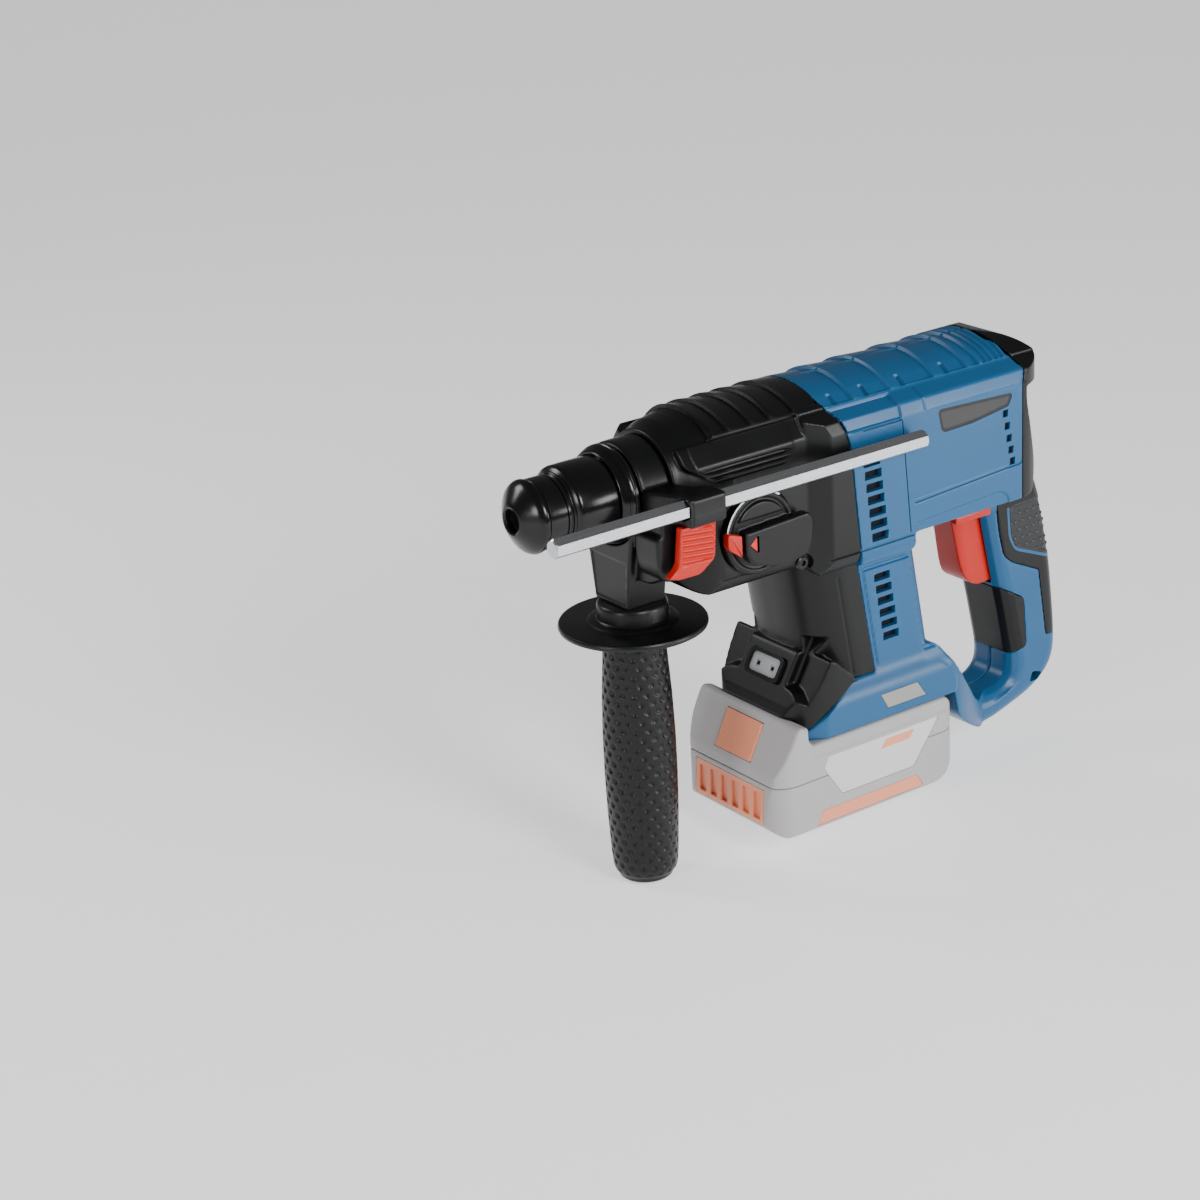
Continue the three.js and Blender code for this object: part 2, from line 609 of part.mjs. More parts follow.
function bevelShaft() {
  const place = new THREE.Matrix4().makeTranslation(BEVEL_X, 0, 0);
  const half = Math.PI / WHEEL_TEETH;
  return union(
    prism('z', placed(spurOutline(WHEEL_TEETH, half), BEVEL_X), -43, -35),
    rod('z', -50, -24, 3.5, [BEVEL_X, 0, 0], 12),
    revolve('z', [
      [-27, 0], [-27, 4.9], [-24.3, 5], [-19.9, 4.1], [-19.9, 0],
    ], [BEVEL_X, 0, 0], 20),
    ...bevelTeeth(BEVEL_PINION_TEETH, BEVEL_PINION_R, BEVEL_RING_R, 0, place),
  );
}

function bevelRing() {
  const place = new THREE.Matrix4()
    .makeBasis(AXES.x[1], AXES.x[0], AXES.x[2])
    .setPosition(BEVEL_X, 0, 0);
  const half = Math.PI / BEVEL_RING_TEETH;
  return union(
    revolve('x', [
      [BEVEL_X - 11, 14.2], [BEVEL_X - 11, BEVEL_RING_R - 0.1], [BEVEL_X - 6.95, BEVEL_RING_R - 0.2],
      [BEVEL_X - 5.65, 19.4], [BEVEL_X - 5.65, 14.2],
    ], [0, 0, 0], 32),
    ...bevelTeeth(BEVEL_RING_TEETH, BEVEL_RING_R, BEVEL_PINION_R, half, place),
  );
}

// Everything else inside
const bearing = (axis, from, to, inner, outer, centre) => tube(axis, from, to, inner, outer, centre, 20);
function stator() {
  const ring = tube('z', -104, -62, 19, MOTOR_R, [MOTOR_X, 0, 0], 24);
  const teeth = Array.from({ length: 6 }, (_, i) => {
    const turn = new THREE.Matrix4().makeRotationZ((i * Math.PI) / 3 + 0.4);
    turn.setPosition(MOTOR_X, 0, 0);
    return toSolid(new THREE.BoxGeometry(7, 9, 36).translate(16.8, 0, -83), turn);
  });
  return union(ring, ...teeth);
}
const bearingPlate = () => box([150, 207], [-25, 25], [-50.6, -46.4])
  .subtract(rod('z', -60, -40, 8.2, [MOTOR_X, 0, 0], 20))
  .subtract(rod('z', -60, -40, 4.3, [CRANK_X, 0, 0], 20))
  .subtract(rod('z', -60, -40, 4, [BEVEL_X, 0, 0], 16));
const switchModule = () => box([290, 302], [-9.5, 9.5], [-96, -66]);
const controlBoard = () => box([186, 214], [-26, 26], [-121.5, -119.8]);
const terminalBlock = () => box([186, 216], [-24, 24], [-127.8, -123.5]);

// Controls
function trigger() {
  const outline = [
    [256.5, -60.4], [258.2, -70], [261.8, -89, 3], [265.5, -96, 3], [272, -99.2, 2], [277.5, -98.8],
    [281.6, -98.6], [276.5, -60.4],
  ];
  const plan = mirrorPoints([[256.2, 3], [257.5, 6.5], [261, 9.2], [284, 9.2]]);
  const lean = new THREE.Matrix4().set(1, 0, -0.14, -0.14 * 75, 0, 1, 0, 0, 0, 0, 1, 0, 0, 0, 0, 1);
  const round = toSolid(
    new THREE.ExtrudeGeometry(shapeOf(plan), { depth: 60, bevelEnabled: false }).translate(0, 0, -110),
    lean,
  );
  return prism('y', outline, -9.2, 9.2).intersect(round);
}
const directionSwitch = () => prism('x', [
  [-25.5, -56.2], [-25.5, -52.4], [-23, -50.6], [23, -50.6], [25.5, -52.4], [25.5, -56.2],
], 243.2, 266.2);

function selectorKnob() {
  const disc = rod('y', -34, -29.6, DIAL.r, [DIAL.x, 0, DIAL.z], 32);
  const stem = rod('y', -30, -21, 6, [DIAL.x, 0, DIAL.z], 16);
  const lever = prism('y', [
    [103, -21.3], [141.5, -19.8, 1], [143.5, -24, 1], [142.5, -36, 2], [138, -40.5, 2], [124, -42, 2],
    [108, -37, 2], [103, -31.5],
  ], -38.8, -33.8);
  const pocket = box([100, 104.2], [-45, -34.05], [-45, -15]);
  return union(disc, stem, lever).subtract(pocket).subtract(pointerPiece(GAP, -40));
}
const pointerPiece = (grow, face) => prism('y', [
  [106.6 - grow, -27.5], [110 + grow, -24.2 + grow], [110 + grow, -31.4 - grow],
], face, -37.6 + grow);
const selectorPointer = () => pointerPiece(0, -38.7);
const selectorButton = () => prism('y', [
  [94.5, -19, 2], [102.6, -21.9], [102.6, -32.5], [94.5, -26.5, 2],
], -38.4, -34.3);

// Side handle
function clampBody() {
  const ring = tube('x', RING_FRONT, RING_REAR, 21.3, 23.4);
  const saddle = prism('x', [
    [-19, -13], [-15, -33], [-12.2, -52.6], [12.2, -52.6], [15, -33], [19, -13],
  ], 59.4, 77.4);
  const arm = prism('z', [
    [60, -17], [75.5, -17], [79, -30], [87.2, -37.5], [87.2, -48.4], [66.5, -48.4], [66.5, -41], [60, -27],
  ], -7.2, 6.2);
  const web = prism('x', [[-12, -10], [-13, -38], [-24, -38], [-35.6, -32.5], [-35.6, -6], [-20, 4]], 60, 77.4);
  const rodHole = hexPrism(ROD.x0 - 10, ROD.x0 + ROD.length + 10, ROD.flats + 0.8);
  return union(ring, saddle, arm, web)
    .subtract(revolve('x', [[50, 0], [50, 21.3], [75.7, 21.3], [75.7, 26.8], [90, 26.8], [90, 0]]))
    .subtract(rodHole)
    .subtract(rod('z', -60, -20, 4.4, [GRIP_X, 0, 0], 12))
    .subtract(rod('z', -28, -15, 7.6, [GRIP_X, 0, 0], 6));
}
function hexPrism(from, to, flats) {
  const radius = flats / Math.sqrt(3);
  const points = Array.from({ length: 6 }, (_, i) => [
    ROD.y + radius * Math.sin((i * Math.PI) / 3), ROD.z + radius * Math.cos((i * Math.PI) / 3),
  ]);
  return prism('x', points, from, to);
}
const clampBand = () => tube('x', 62, 73.5, 20.2, 21);
const clampBolt = () => union(
  rod('z', -96, -26, 4, [GRIP_X, 0, 0], 12),
  rod('z', -27.6, -22.4, 7, [GRIP_X, 0, 0], 6),
);
const handleGuard = () => revolve('z', [
  [-53, 4.4], [-53, 15.6], [-54.4, 16.6], [-61, 16.6], [-61.6, 20], [-62.6, 21], [-63, 33.4],
  [-64.2, 34.6], [-66, 34.6], [-66.6, 33.6], [-65.4, 18], [-65.4, 4.4],
], [GRIP_X, 0, 0], 32);
const handleGrip = () => revolve('z', [
  [-65.8, 4.4], [-65.8, 14.2], [-80, 15], [-100, 16.3], [-120, 17], [-140, 17.1], [-160, 16.7],
  [-180, 15.8], [-188, 15], [-191.6, 12.6], [GRIP_BOTTOM, 9], [GRIP_BOTTOM, 0], [-100, 0], [-100, 4.4],
], [GRIP_X, 0, 0], 24);
const depthRod = () => hexPrism(ROD.x0, ROD.x0 + ROD.length, ROD.flats)
  .intersect(revolve('x', [
    [ROD.x0, 0], [ROD.x0, 3.6], [ROD.x0 + 1.4, 5], [ROD.x0 + ROD.length - 1.4, 5],
    [ROD.x0 + ROD.length, 3.6], [ROD.x0 + ROD.length, 0],
  ], [0, ROD.y, ROD.z], 18));
const rodButton = () => prism('y', [
  [65.5, -7.8], [84.7, -7.8], [83.6, -25.7, 2], [75, -31.5, 2], [62.8, -31.2], [57.8, -29.4],
  [63.6, -25.4, 3],
], -43, -38.6);

// Battery pack
function packBlock(depth) {
  const outline = inset([
    [119, -160], [118, -176, 3], [123.5, BATTERY.bottom, 3], [222, BATTERY.bottom, 5],
    [BATTERY.rear, -172, 4], [BATTERY.rear, -143, 4], [225, BATTERY.top, 2], [141, BATTERY.top],
    [138.7, -134], [138.4, -127.4], [133.6, -126], [131.5, -127.6], [120.4, -149.5],
  ], depth);
  const half = BATTERY.half - depth;
  const plan = mirrorPoints([
    [BATTERY.front + 0.4 + depth, 27.5 - depth], [120.5 + depth, 33 - depth], [127 + depth, half],
    [226, half], [232 - depth, half - 5],
  ]);
  return prism('y', outline, -40, 40).intersect(prism('z', plan, -190, -110));
}
const railBlock = () => box([146, 222], [-26, 26], [-138, -128.4]);

function batteryUpper() {
  const shell = packBlock(0).intersect(box([100, 240], [-60, 60], [BATTERY.split + GAP / 2, -100]));
  const hollow = packBlock(2.6).intersect(box([126, 240], [-60, 60], [-200, BATTERY.top - 2.6]));
  return shell.subtract(hollow).add(railBlock())
    .subtract(box([150, 218], [-23, 23], [-160, -131]))
    .subtract(packButton(GAP, 8))
    .subtract(prism('y', labelOutline(GAP), -50, -BATTERY.half + 0.8));
}
function batteryLower() {
  const shell = packBlock(0).intersect(box([100, 240], [-60, 60], [-200, BATTERY.split - GAP / 2]));
  const hollow = packBlock(2.6).intersect(box([123, 240], [-60, 60], [-180, -100]));
  return shell.subtract(hollow)
    .subtract(grilleBlock(GAP))
    .subtract(prism('y', labelOutline(GAP), -50, -BATTERY.half + 0.8))
    .subtract(prism('y', stripOutline(GAP), -50, -BATTERY.half + 0.8));
}
// The release button lies on the sloping front of the pack
function packButton(grow, deep) {
  const top = new THREE.Vector2(130.2, -130.2);
  const foot = new THREE.Vector2(121.4, -147.5);
  const slope = foot.clone().sub(top).normalize();
  const normal = new THREE.Vector2(slope.y, -slope.x);
  const corner = (base, along, out) => base.clone()
    .addScaledVector(slope, along).addScaledVector(normal, out).toArray();
  return prism('y', [
    corner(top, -grow, 0.7 + grow), corner(foot, grow, 0.7 + grow),
    corner(foot, grow, -deep), corner(top, -grow, -deep),
  ], -13.5 - grow, 13.5 + grow);
}
const grilleBlock = (grow) => box(
  [BATTERY.front - 1, 121.4 + grow], [-26 - grow, 26 + grow], [-175.6 - grow, -157.6 + grow],
);
const grillePiece = () => grilleBlock(0).intersect(packBlock(0));
const labelOutline = (grow) => [
  [150 - grow, -145.5 + grow], [219.5 + grow, -145.5 + grow],
  [203 + grow, -167 - grow], [158 - grow, -167 - grow],
  [147 - grow, -151],
];
const stripOutline = (grow) => [
  [146 - grow, -172.4 + grow], [205 + grow, -172.4 + grow],
  [209 + grow, -179 - grow], [142 - grow, -179 - grow],
];
// A thin plate just inside the surface at y = side
const thinPlate = (outline, side, thick) =>
  prism('y', outline, ...(side < 0 ? [side, side + thick] : [side - thick, side]));

function cellPack() {
  const cells = [];
  for (const z of [-168.3, -149.3]) {
    for (let i = 0; i < 5; i += 1) cells.push(rod('y', -32, 32, 9, [136.5 + 19.4 * i, 0, z], 8));
  }
  const strips = [-30, 28].map((y) => box([132, 219], [y, y + 2], [-172, -145]));
  return union(...cells, ...strips);
}

// Screws through the right shell
const SCREWS = [[222, -40, 36.5], [268, -38, 36.5], [226.5, -121.5, 36.5], [302, -150, 17]];
const screw = ([x, z, half]) => revolve('y', [
  [half - 12, 0], [half - 12, 1.9], [half - 4, 1.9], [half - 4, 3.2], [half - 1.4, 3.2], [half - 1.4, 0],
], [x, 0, z], 14).subtract(rod('y', half - 2.6, half, 1.4, [x, 0, z], 6));
const screwBoss = ([x, z, half]) => rod('y', 1, half - 1.2, 5, [x, 0, z], 14);
const screwHole = ([x, z, half]) => revolve('y', [
  [-1, 0], [-1, 2.2], [half - 4 - GAP, 2.2], [half - 4 - GAP, 3.5], [half + 4, 3.5], [half + 4, 0],
], [x, 0, z], 14);

// Assembly
const tool = new THREE.Group();
function add(name, solid, material) {
  const mesh = new THREE.Mesh(toGeometry(solid), material);
  mesh.name = name;
  tool.add(mesh);
}

function addHousing() {
  const { left, right } = housingHalves();
  add('left_housing', left, BLUE());
  add('right_housing', right, BLUE());
  add('gear_housing', gearHousing(), BLACK());
  add('motor_cover', motorCover(), BLACK());
  add('rear_cap', rearCap(), BLACK());
  add('rear_grip', rearGrip(), RUBBER());
  add('front_grip', frontGrip(), RUBBER());
  add('lamp_lens', lampPiece(12, 22, 2, 0.6), LENS());
  for (const [side, sign] of [['left', -1], ['right', 1]]) {
    add(`${side}_insert`, thinPlate(insertOutline(0), sign * BODY_HALF, 1.2), GREY());
    add(`${side}_plate`, thinPlate(plateOutline(0), sign * BODY_HALF, 0.5), STEEL());
  }
  SCREWS.forEach((place, i) => add(`screw_${i + 1}`, screw(place), DARK_STEEL()));
}

function addMotor() {
  add('stator', stator(), COPPER());
  add('upper_bearing', bearing('z', -50.4, -46.6, 2.8, 7.9, [MOTOR_X, 0, 0]), STEEL());
  add('lower_bearing', bearing('z', -118.6, -114.4, 2.8, 8, [MOTOR_X, 0, 0]), STEEL());
  add('bearing_plate', bearingPlate(), finish(0xa8abae, 0.5, 1));
  add('switch_module', switchModule(), BLACK());
  add('control_board', controlBoard(), BOARD());
  add('terminal_block', terminalBlock(), BLACK());
  add('rotor_shaft', rotorShaft(), STEEL());
  add('rotor_core', rotorCore(), DARK_STEEL());
  add('fan', fan(), BLACK());
}

function addHammer() {
  add('crank_wheel', crankWheel(), STEEL());
  add('bevel_shaft', bevelShaft(), STEEL());
  add('connecting_rod', connectingRod(), STEEL());
  add('piston', piston(), STEEL());
  add('striker', striker(), STEEL());
  add('impact_bolt', impactBolt(), STEEL());
  add('hammer_tube', hammerTube(), DARK_STEEL());
  add('bevel_ring', bevelRing(), STEEL());
  add('spindle_bearing', bearing('x', 84, 94, 14.3, 21.9, [0, 0, 0]), STEEL());
}

function addChuck() {
  add('dust_cap', dustCap(), RUBBER());
  add('chuck_ring', chuckRing(), BLACK());
  add('locking_ball', lockingBall(), STEEL());
  add('locking_sleeve', lockingSleeve(), BLACK());
  add('sleeve_spring', sleeveSpring(), STEEL());
  add('guard_ring', guardRing(), BLACK());
}

function addControls() {
  add('selector_knob', selectorKnob(), BLACK());
  add('selector_pointer', selectorPointer(), RED());
  add('selector_button', selectorButton(), RED());
  add('trigger', trigger(), RED());
  add('direction_switch', directionSwitch(), RED());
}

function addSideHandle() {
  add('clamp_body', clampBody(), BLACK());
  add('clamp_band', clampBand(), STEEL());
  add('clamp_bolt', clampBolt(), STEEL());
  add('handle_guard', handleGuard(), BLACK());
  add('handle_grip', handleGrip(), RUBBER());
  add('rod_button', rodButton(), BLACK());
  add('depth_rod', depthRod(), DARK_STEEL());
}

function addBattery() {
  add('battery_upper', batteryUpper(), PACK());
  add('battery_lower', batteryLower(), PACK());
  add('battery_button', packButton(0, 3), GREY());
  add('battery_grille', grillePiece(), finish(0xd9dadd, 0.5));
  add('battery_label', thinPlate(labelOutline(0), -BATTERY.half, 0.5)
    .intersect(box([0, 300], [-60, 60], [BATTERY.split + GAP, 0])), SALMON());
  add('battery_strip', thinPlate(stripOutline(0), -BATTERY.half, 0.5), SALMON());
  add('cell_pack', cellPack(), DARK_STEEL());
}

addHousing();
addMotor();
addHammer();
addChuck();
addControls();
addSideHandle();
addBattery();
tool.position.set(-(BATTERY.front + BATTERY.rear) / 2, 0, -BATTERY.bottom);

const root = new THREE.Group();
root.add(tool);
export default root;
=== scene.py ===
"""Looks of the cordless rotary hammer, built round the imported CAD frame.

Shapes are written in millimetres from the tip of the nose, as in the CAD source, and are turned
into metres in the row's frame when they are placed.
"""

import math

import bmesh
import bpy
import numpy as np
from mathutils import Matrix, Vector


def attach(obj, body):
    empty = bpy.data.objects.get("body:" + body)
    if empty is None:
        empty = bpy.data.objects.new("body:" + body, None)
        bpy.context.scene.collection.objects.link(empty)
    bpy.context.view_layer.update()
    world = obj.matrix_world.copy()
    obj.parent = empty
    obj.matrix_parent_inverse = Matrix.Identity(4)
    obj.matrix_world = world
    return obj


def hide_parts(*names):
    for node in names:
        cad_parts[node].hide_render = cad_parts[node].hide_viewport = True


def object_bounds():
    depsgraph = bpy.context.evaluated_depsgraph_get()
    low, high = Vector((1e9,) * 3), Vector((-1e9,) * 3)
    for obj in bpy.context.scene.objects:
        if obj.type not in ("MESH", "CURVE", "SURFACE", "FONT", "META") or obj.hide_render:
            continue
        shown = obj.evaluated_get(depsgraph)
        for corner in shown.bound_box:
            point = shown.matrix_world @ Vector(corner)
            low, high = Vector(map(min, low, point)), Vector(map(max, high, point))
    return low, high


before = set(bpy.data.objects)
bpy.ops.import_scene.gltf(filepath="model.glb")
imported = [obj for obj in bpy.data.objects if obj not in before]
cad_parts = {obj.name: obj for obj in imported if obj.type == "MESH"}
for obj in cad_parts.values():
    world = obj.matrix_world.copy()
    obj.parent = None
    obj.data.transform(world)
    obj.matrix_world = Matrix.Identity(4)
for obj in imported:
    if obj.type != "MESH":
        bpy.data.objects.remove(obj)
CAD_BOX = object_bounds()
scene = bpy.context.scene
OX, OZ = -174.25, 181.0  # nose tip to row origin
LEAN = 0.163  # the motor column leans back by this much for each mm down

# ---------------------------------------------------------------- mesh tools


def new_object(name, verts, faces):
    mesh = bpy.data.meshes.new(name)
    mesh.from_pydata([tuple(v) for v in verts], [], [tuple(f) for f in faces])
    obj = bpy.data.objects.new(name, mesh)
    scene.collection.objects.link(obj)
    bm = bmesh.new()
    bm.from_mesh(mesh)
    bmesh.ops.remove_doubles(bm, verts=bm.verts, dist=1e-4)
    bmesh.ops.recalc_face_normals(bm, faces=bm.faces)
    bm.to_mesh(mesh)
    bm.free()
    return obj


def rounded(points, corner=0.0, steps=4):
    """An outline of (a, b) or (a, b, cut) points, with its corners rounded."""
    out = []
    n = len(points)
    for i, entry in enumerate(points):
        p = np.array(entry[:2], float)
        cut = entry[2] if len(entry) > 2 else corner
        if not cut:
            out.append(p)
            continue
        a = np.array(points[i - 1][:2], float) - p
        b = np.array(points[(i + 1) % n][:2], float) - p
        la, lb = np.linalg.norm(a), np.linalg.norm(b)
        start = p + a / la * min(cut, la * 0.48)
        end = p + b / lb * min(cut, lb * 0.48)
        for k in range(steps + 1):
            t = k / steps
            out.append((1 - t) ** 2 * start + 2 * t * (1 - t) * p + t * t * end)
    return out


def area(points):
    p = np.array(points)
    q = np.roll(p, -1, 0)
    return 0.5 * float(np.sum(p[:, 0] * q[:, 1] - q[:, 0] * p[:, 1]))


def inset(points, distance):
    """The outline with each edge moved inwards."""
    p = np.array([q[:2] for q in points], float)
    sign = 1.0 if area(p) > 0 else -1.0
    before = p - np.roll(p, 1, 0)
    after = np.roll(p, -1, 0) - p
    before /= np.maximum(np.linalg.norm(before, axis=1, keepdims=True), 1e-9)
    after /= np.maximum(np.linalg.norm(after, axis=1, keepdims=True), 1e-9)
    n1 = np.stack([-before[:, 1], before[:, 0]], 1) * sign
    n2 = np.stack([-after[:, 1], after[:, 0]], 1) * sign
    mid = n1 + n2
    mid /= np.maximum(np.linalg.norm(mid, axis=1, keepdims=True), 1e-9)
    reach = distance / np.maximum(np.sum(mid * n1, 1), 0.5)
    return [tuple(v) for v in p + mid * reach[:, None]]


def lay(axis, ring, t):
    """A 2-D ring placed at a height along an axis."""
    if axis == "x":
        return [(t, a, b) for a, b in ring]
    if axis == "y":
        return [(a, t, b) for a, b in ring]
    return [(a, b, t) for a, b in ring]


def loft(rings):
    """A closed solid through rings that all have the same number of points."""
    n = len(rings[0])
    verts = [v for ring in rings for v in ring]
    faces = [tuple(range(n))]
    for k in range(len(rings) - 1):
        for i in range(n):
            j = (i + 1) % n
            faces.append((k * n + i, k * n + j, (k + 1) * n + j, (k + 1) * n + i))
    faces.append(tuple(range((len(rings) - 1) * n, len(rings) * n)))
    return verts, faces


def prism(axis, points, low, high, corner=0.0, edge=0.0, steps=4):
    """A prism along an axis. edge rounds the rims of its two ends."""
    ring = rounded(points, corner, steps)
    if edge:
        angles = [math.pi / 2 * k / steps for k in range(steps + 1)]
        turns = [(edge * (1 - math.sin(a)), edge * (1 - math.cos(a))) for a in angles]
        rings = [lay(axis, inset(ring, shrink), low + rise) for shrink, rise in turns]
        rings += [lay(axis, inset(ring, shrink), high - rise) for shrink, rise in reversed(turns)]
    else:
        rings = [lay(axis, ring, low), lay(axis, ring, high)]
    return new_object("prism", *loft(rings))


def revolve(axis, profile, centre=(0, 0, 0), segments=128):
    """A solid of revolution from (axial, radius) points."""
    n = len(profile)
    closed = profile[0][1] > 0
    verts, faces = [], []
    for i in range(segments):
        a = 2 * math.pi * i / segments
        for t, r in profile:
            u, v = r * math.cos(a), r * math.sin(a)
            p = {"x": (t, u, v), "y": (v, t, u), "z": (u, v, t)}[axis]
            verts.append(tuple(p[k] + centre[k] for k in range(3)))
    for i in range(segments):
        j = (i + 1) % segments
        for k in range(n if closed else n - 1):
            m = (k + 1) % n
            faces.append((i * n + k, j * n + k, j * n + m, i * n + m))
    return new_object("turned", verts, faces)


def side_slab(side, outline, outer, inner, **shape):
    """A prism on one side of the tool, -1 or 1, between two distances from the middle."""
    return prism("y", outline, *sorted((side * outer, side * inner)), **shape)


def box(x, y, z):
    return prism("z", [(x[0], y[0]), (x[1], y[0]), (x[1], y[1]), (x[0], y[1])], z[0], z[1])


def bake(obj):
    """Applies an object's modifiers."""
    graph = bpy.context.evaluated_depsgraph_get()
    mesh = bpy.data.meshes.new_from_object(obj.evaluated_get(graph))
    old = obj.data
    obj.modifiers.clear()
    obj.data = mesh
    bpy.data.meshes.remove(old)
    return obj


def combine(a, others, operation):
    for b in others:
        mod = a.modifiers.new("combine", "BOOLEAN")
        mod.operation = operation
        mod.solver = "MANIFOLD"
        mod.object = b
        bake(a)
        bpy.data.objects.remove(b)
    return a


def cut(a, *others):
    return combine(a, others, "DIFFERENCE")


def join(a, *others):
    return combine(a, others, "UNION")


def common(a, *others):
    return combine(a, others, "INTERSECT")


def copy(a):
    b = a.copy()
    b.data = a.data.copy()
    scene.collection.objects.link(b)
    return b


def remesh(obj, voxel=0.8, smooth=3, factor=0.5):
    mod = obj.modifiers.new("remesh", "REMESH")
    mod.mode = "VOXEL"
    mod.voxel_size = voxel
    if smooth:
        soft = obj.modifiers.new("soft", "SMOOTH")
        soft.factor = factor
        soft.iterations = smooth
    return bake(obj)


def displace(obj, height):
    """Moves each vertex along its normal by height(x, y, z, normals) millimetres."""
    mesh = obj.data
    n = len(mesh.vertices)
    co = np.empty(n * 3)
    mesh.vertices.foreach_get("co", co)
    co = co.reshape(-1, 3)
    no = np.array([v.vector for v in mesh.vertex_normals], float).reshape(-1, 3)
    h = height(co[:, 0], co[:, 1], co[:, 2], no)
    co += no * h[:, None]
    mesh.vertices.foreach_set("co", co.ravel())
    mesh.update()
    return obj


def step(t, low, high):
    t = np.clip((t - low) / (high - low), 0, 1)
    return t * t * (3 - 2 * t)


def band(t, low, high, soft=0.5):
    return step(t, low - soft, low + soft) * (1 - step(t, high - soft, high + soft))


def place(obj, name, body, look, replaces=(), angle=32):
    """Moves a finished piece into the row's frame, and gives it its body and material."""
    obj.name = name
    obj.data.transform(Matrix.Translation((OX / 1000, 0, OZ / 1000)) @ Matrix.Scale(0.001, 4))
    obj.data.polygons.foreach_set("use_smooth", [True] * len(obj.data.polygons))
    obj.data.set_sharp_from_angle(angle=math.radians(angle))
    obj.data.materials.clear()
    obj.data.materials.append(look)
    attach(obj, body)
    if replaces:
        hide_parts(*replaces)
    return obj


# ---------------------------------------------------------------- materials


def look(name, color, rough, metal=0.0, grain=0.1, scale=2400.0, edge_wear_and_highlight=0.2, tint=0.08, coat=0.0, spec=0.5,
         wear_and_highlight_colour=None, stretch=None, streak=0.0):
    """A procedural finish: colour drift, fine grain, roughness drift and lighter edges, partly edge wear and
    partly painted highlights.
    """
    mat = bpy.data.materials.new(name)
    mat.use_nodes = True
    nt = mat.node_tree
    nodes, links = nt.nodes, nt.links
    bsdf = nodes["Principled BSDF"]
    bsdf.inputs["Metallic"].default_value = metal
    bsdf.inputs["Coat Weight"].default_value = coat
    bsdf.inputs["Coat Roughness"].default_value = 0.12
    bsdf.inputs["Specular IOR Level"].default_value = spec
    coord = nodes.new("ShaderNodeTexCoord")
    source = coord.outputs["Object"]
    if stretch:
        mapping = nodes.new("ShaderNodeMapping")
        mapping.inputs["Scale"].default_value = stretch
        links.new(source, mapping.inputs["Vector"])
        fine_source = mapping.outputs["Vector"]
    else:
        fine_source = source
    drift = nodes.new("ShaderNodeTexNoise")
    drift.inputs["Scale"].default_value = 38.0
    drift.inputs["Detail"].default_value = 5.0
    links.new(source, drift.inputs["Vector"])
    fine = nodes.new("ShaderNodeTexNoise")
    fine.inputs["Scale"].default_value = scale
    fine.inputs["Detail"].default_value = 2.0
    links.new(fine_source, fine.inputs["Vector"])
    dark = nodes.new("ShaderNodeMix")
    dark.data_type = "RGBA"
    dark.inputs[6].default_value = (*[c * (1 - tint) for c in color], 1)
    dark.inputs[7].default_value = (*[min(1, c * (1 + tint)) for c in color], 1)
    links.new(drift.outputs["Fac"], dark.inputs[0])
    geometry = nodes.new("ShaderNodeNewGeometry")
    # Convex edges get the lighter colour: partly edge wear, partly painted highlights along the edges.
    edges = nodes.new("ShaderNodeMapRange")
    edges.inputs["From Min"].default_value = 0.53
    edges.inputs["From Max"].default_value = 0.66
    edges.inputs["To Max"].default_value = edge_wear_and_highlight
    links.new(geometry.outputs["Pointiness"], edges.inputs["Value"])
    wear_and_highlight_mix = nodes.new("ShaderNodeMix")
    wear_and_highlight_mix.data_type = "RGBA"
    light = wear_and_highlight_colour or [min(1, c * 1.6 + 0.05) for c in color]
    wear_and_highlight_mix.inputs[7].default_value = (*light, 1)
    links.new(edges.outputs["Result"], wear_and_highlight_mix.inputs[0])
    links.new(dark.outputs[2], wear_and_highlight_mix.inputs[6])
    links.new(wear_and_highlight_mix.outputs[2], bsdf.inputs["Base Color"])
    gloss = nodes.new("ShaderNodeMapRange")
    gloss.inputs["To Min"].default_value = max(0.02, rough - 0.07)
    gloss.inputs["To Max"].default_value = min(1, rough + 0.07 + streak)
    links.new(fine.outputs["Fac"] if streak else drift.outputs["Fac"], gloss.inputs["Value"])
    links.new(gloss.outputs["Result"], bsdf.inputs["Roughness"])
    bump = nodes.new("ShaderNodeBump")
    bump.inputs["Strength"].default_value = grain
    bump.inputs["Distance"].default_value = 0.0002
    links.new(fine.outputs["Fac"], bump.inputs["Height"])
    links.new(bump.outputs["Normal"], bsdf.inputs["Normal"])
    return mat


# Each finish's lighter edge colour is partly edge wear and partly a painted edge highlight.
BLUE = look("blue_moulding", (0.008, 0.092, 0.225), 0.36, grain=0.10, edge_wear_and_highlight=0.5, tint=0.06, spec=0.42,
            wear_and_highlight_colour=(0.10, 0.30, 0.48))
BLACK = look("black_moulding", (0.0035, 0.0037, 0.0042), 0.34, grain=0.22, edge_wear_and_highlight=0.5, spec=0.3,
             wear_and_highlight_colour=(0.045, 0.047, 0.05))
GLOSS = look("black_gloss", (0.003, 0.003, 0.0035), 0.2, grain=0.03, edge_wear_and_highlight=0.3, spec=0.35,
    wear_and_highlight_colour=(0.03, 0.03, 0.032))
RUBBER = look("black_rubber", (0.004, 0.0042, 0.0045), 0.36, grain=0.3, scale=1800, edge_wear_and_highlight=0.3, spec=0.3,
              wear_and_highlight_colour=(0.03, 0.03, 0.03))
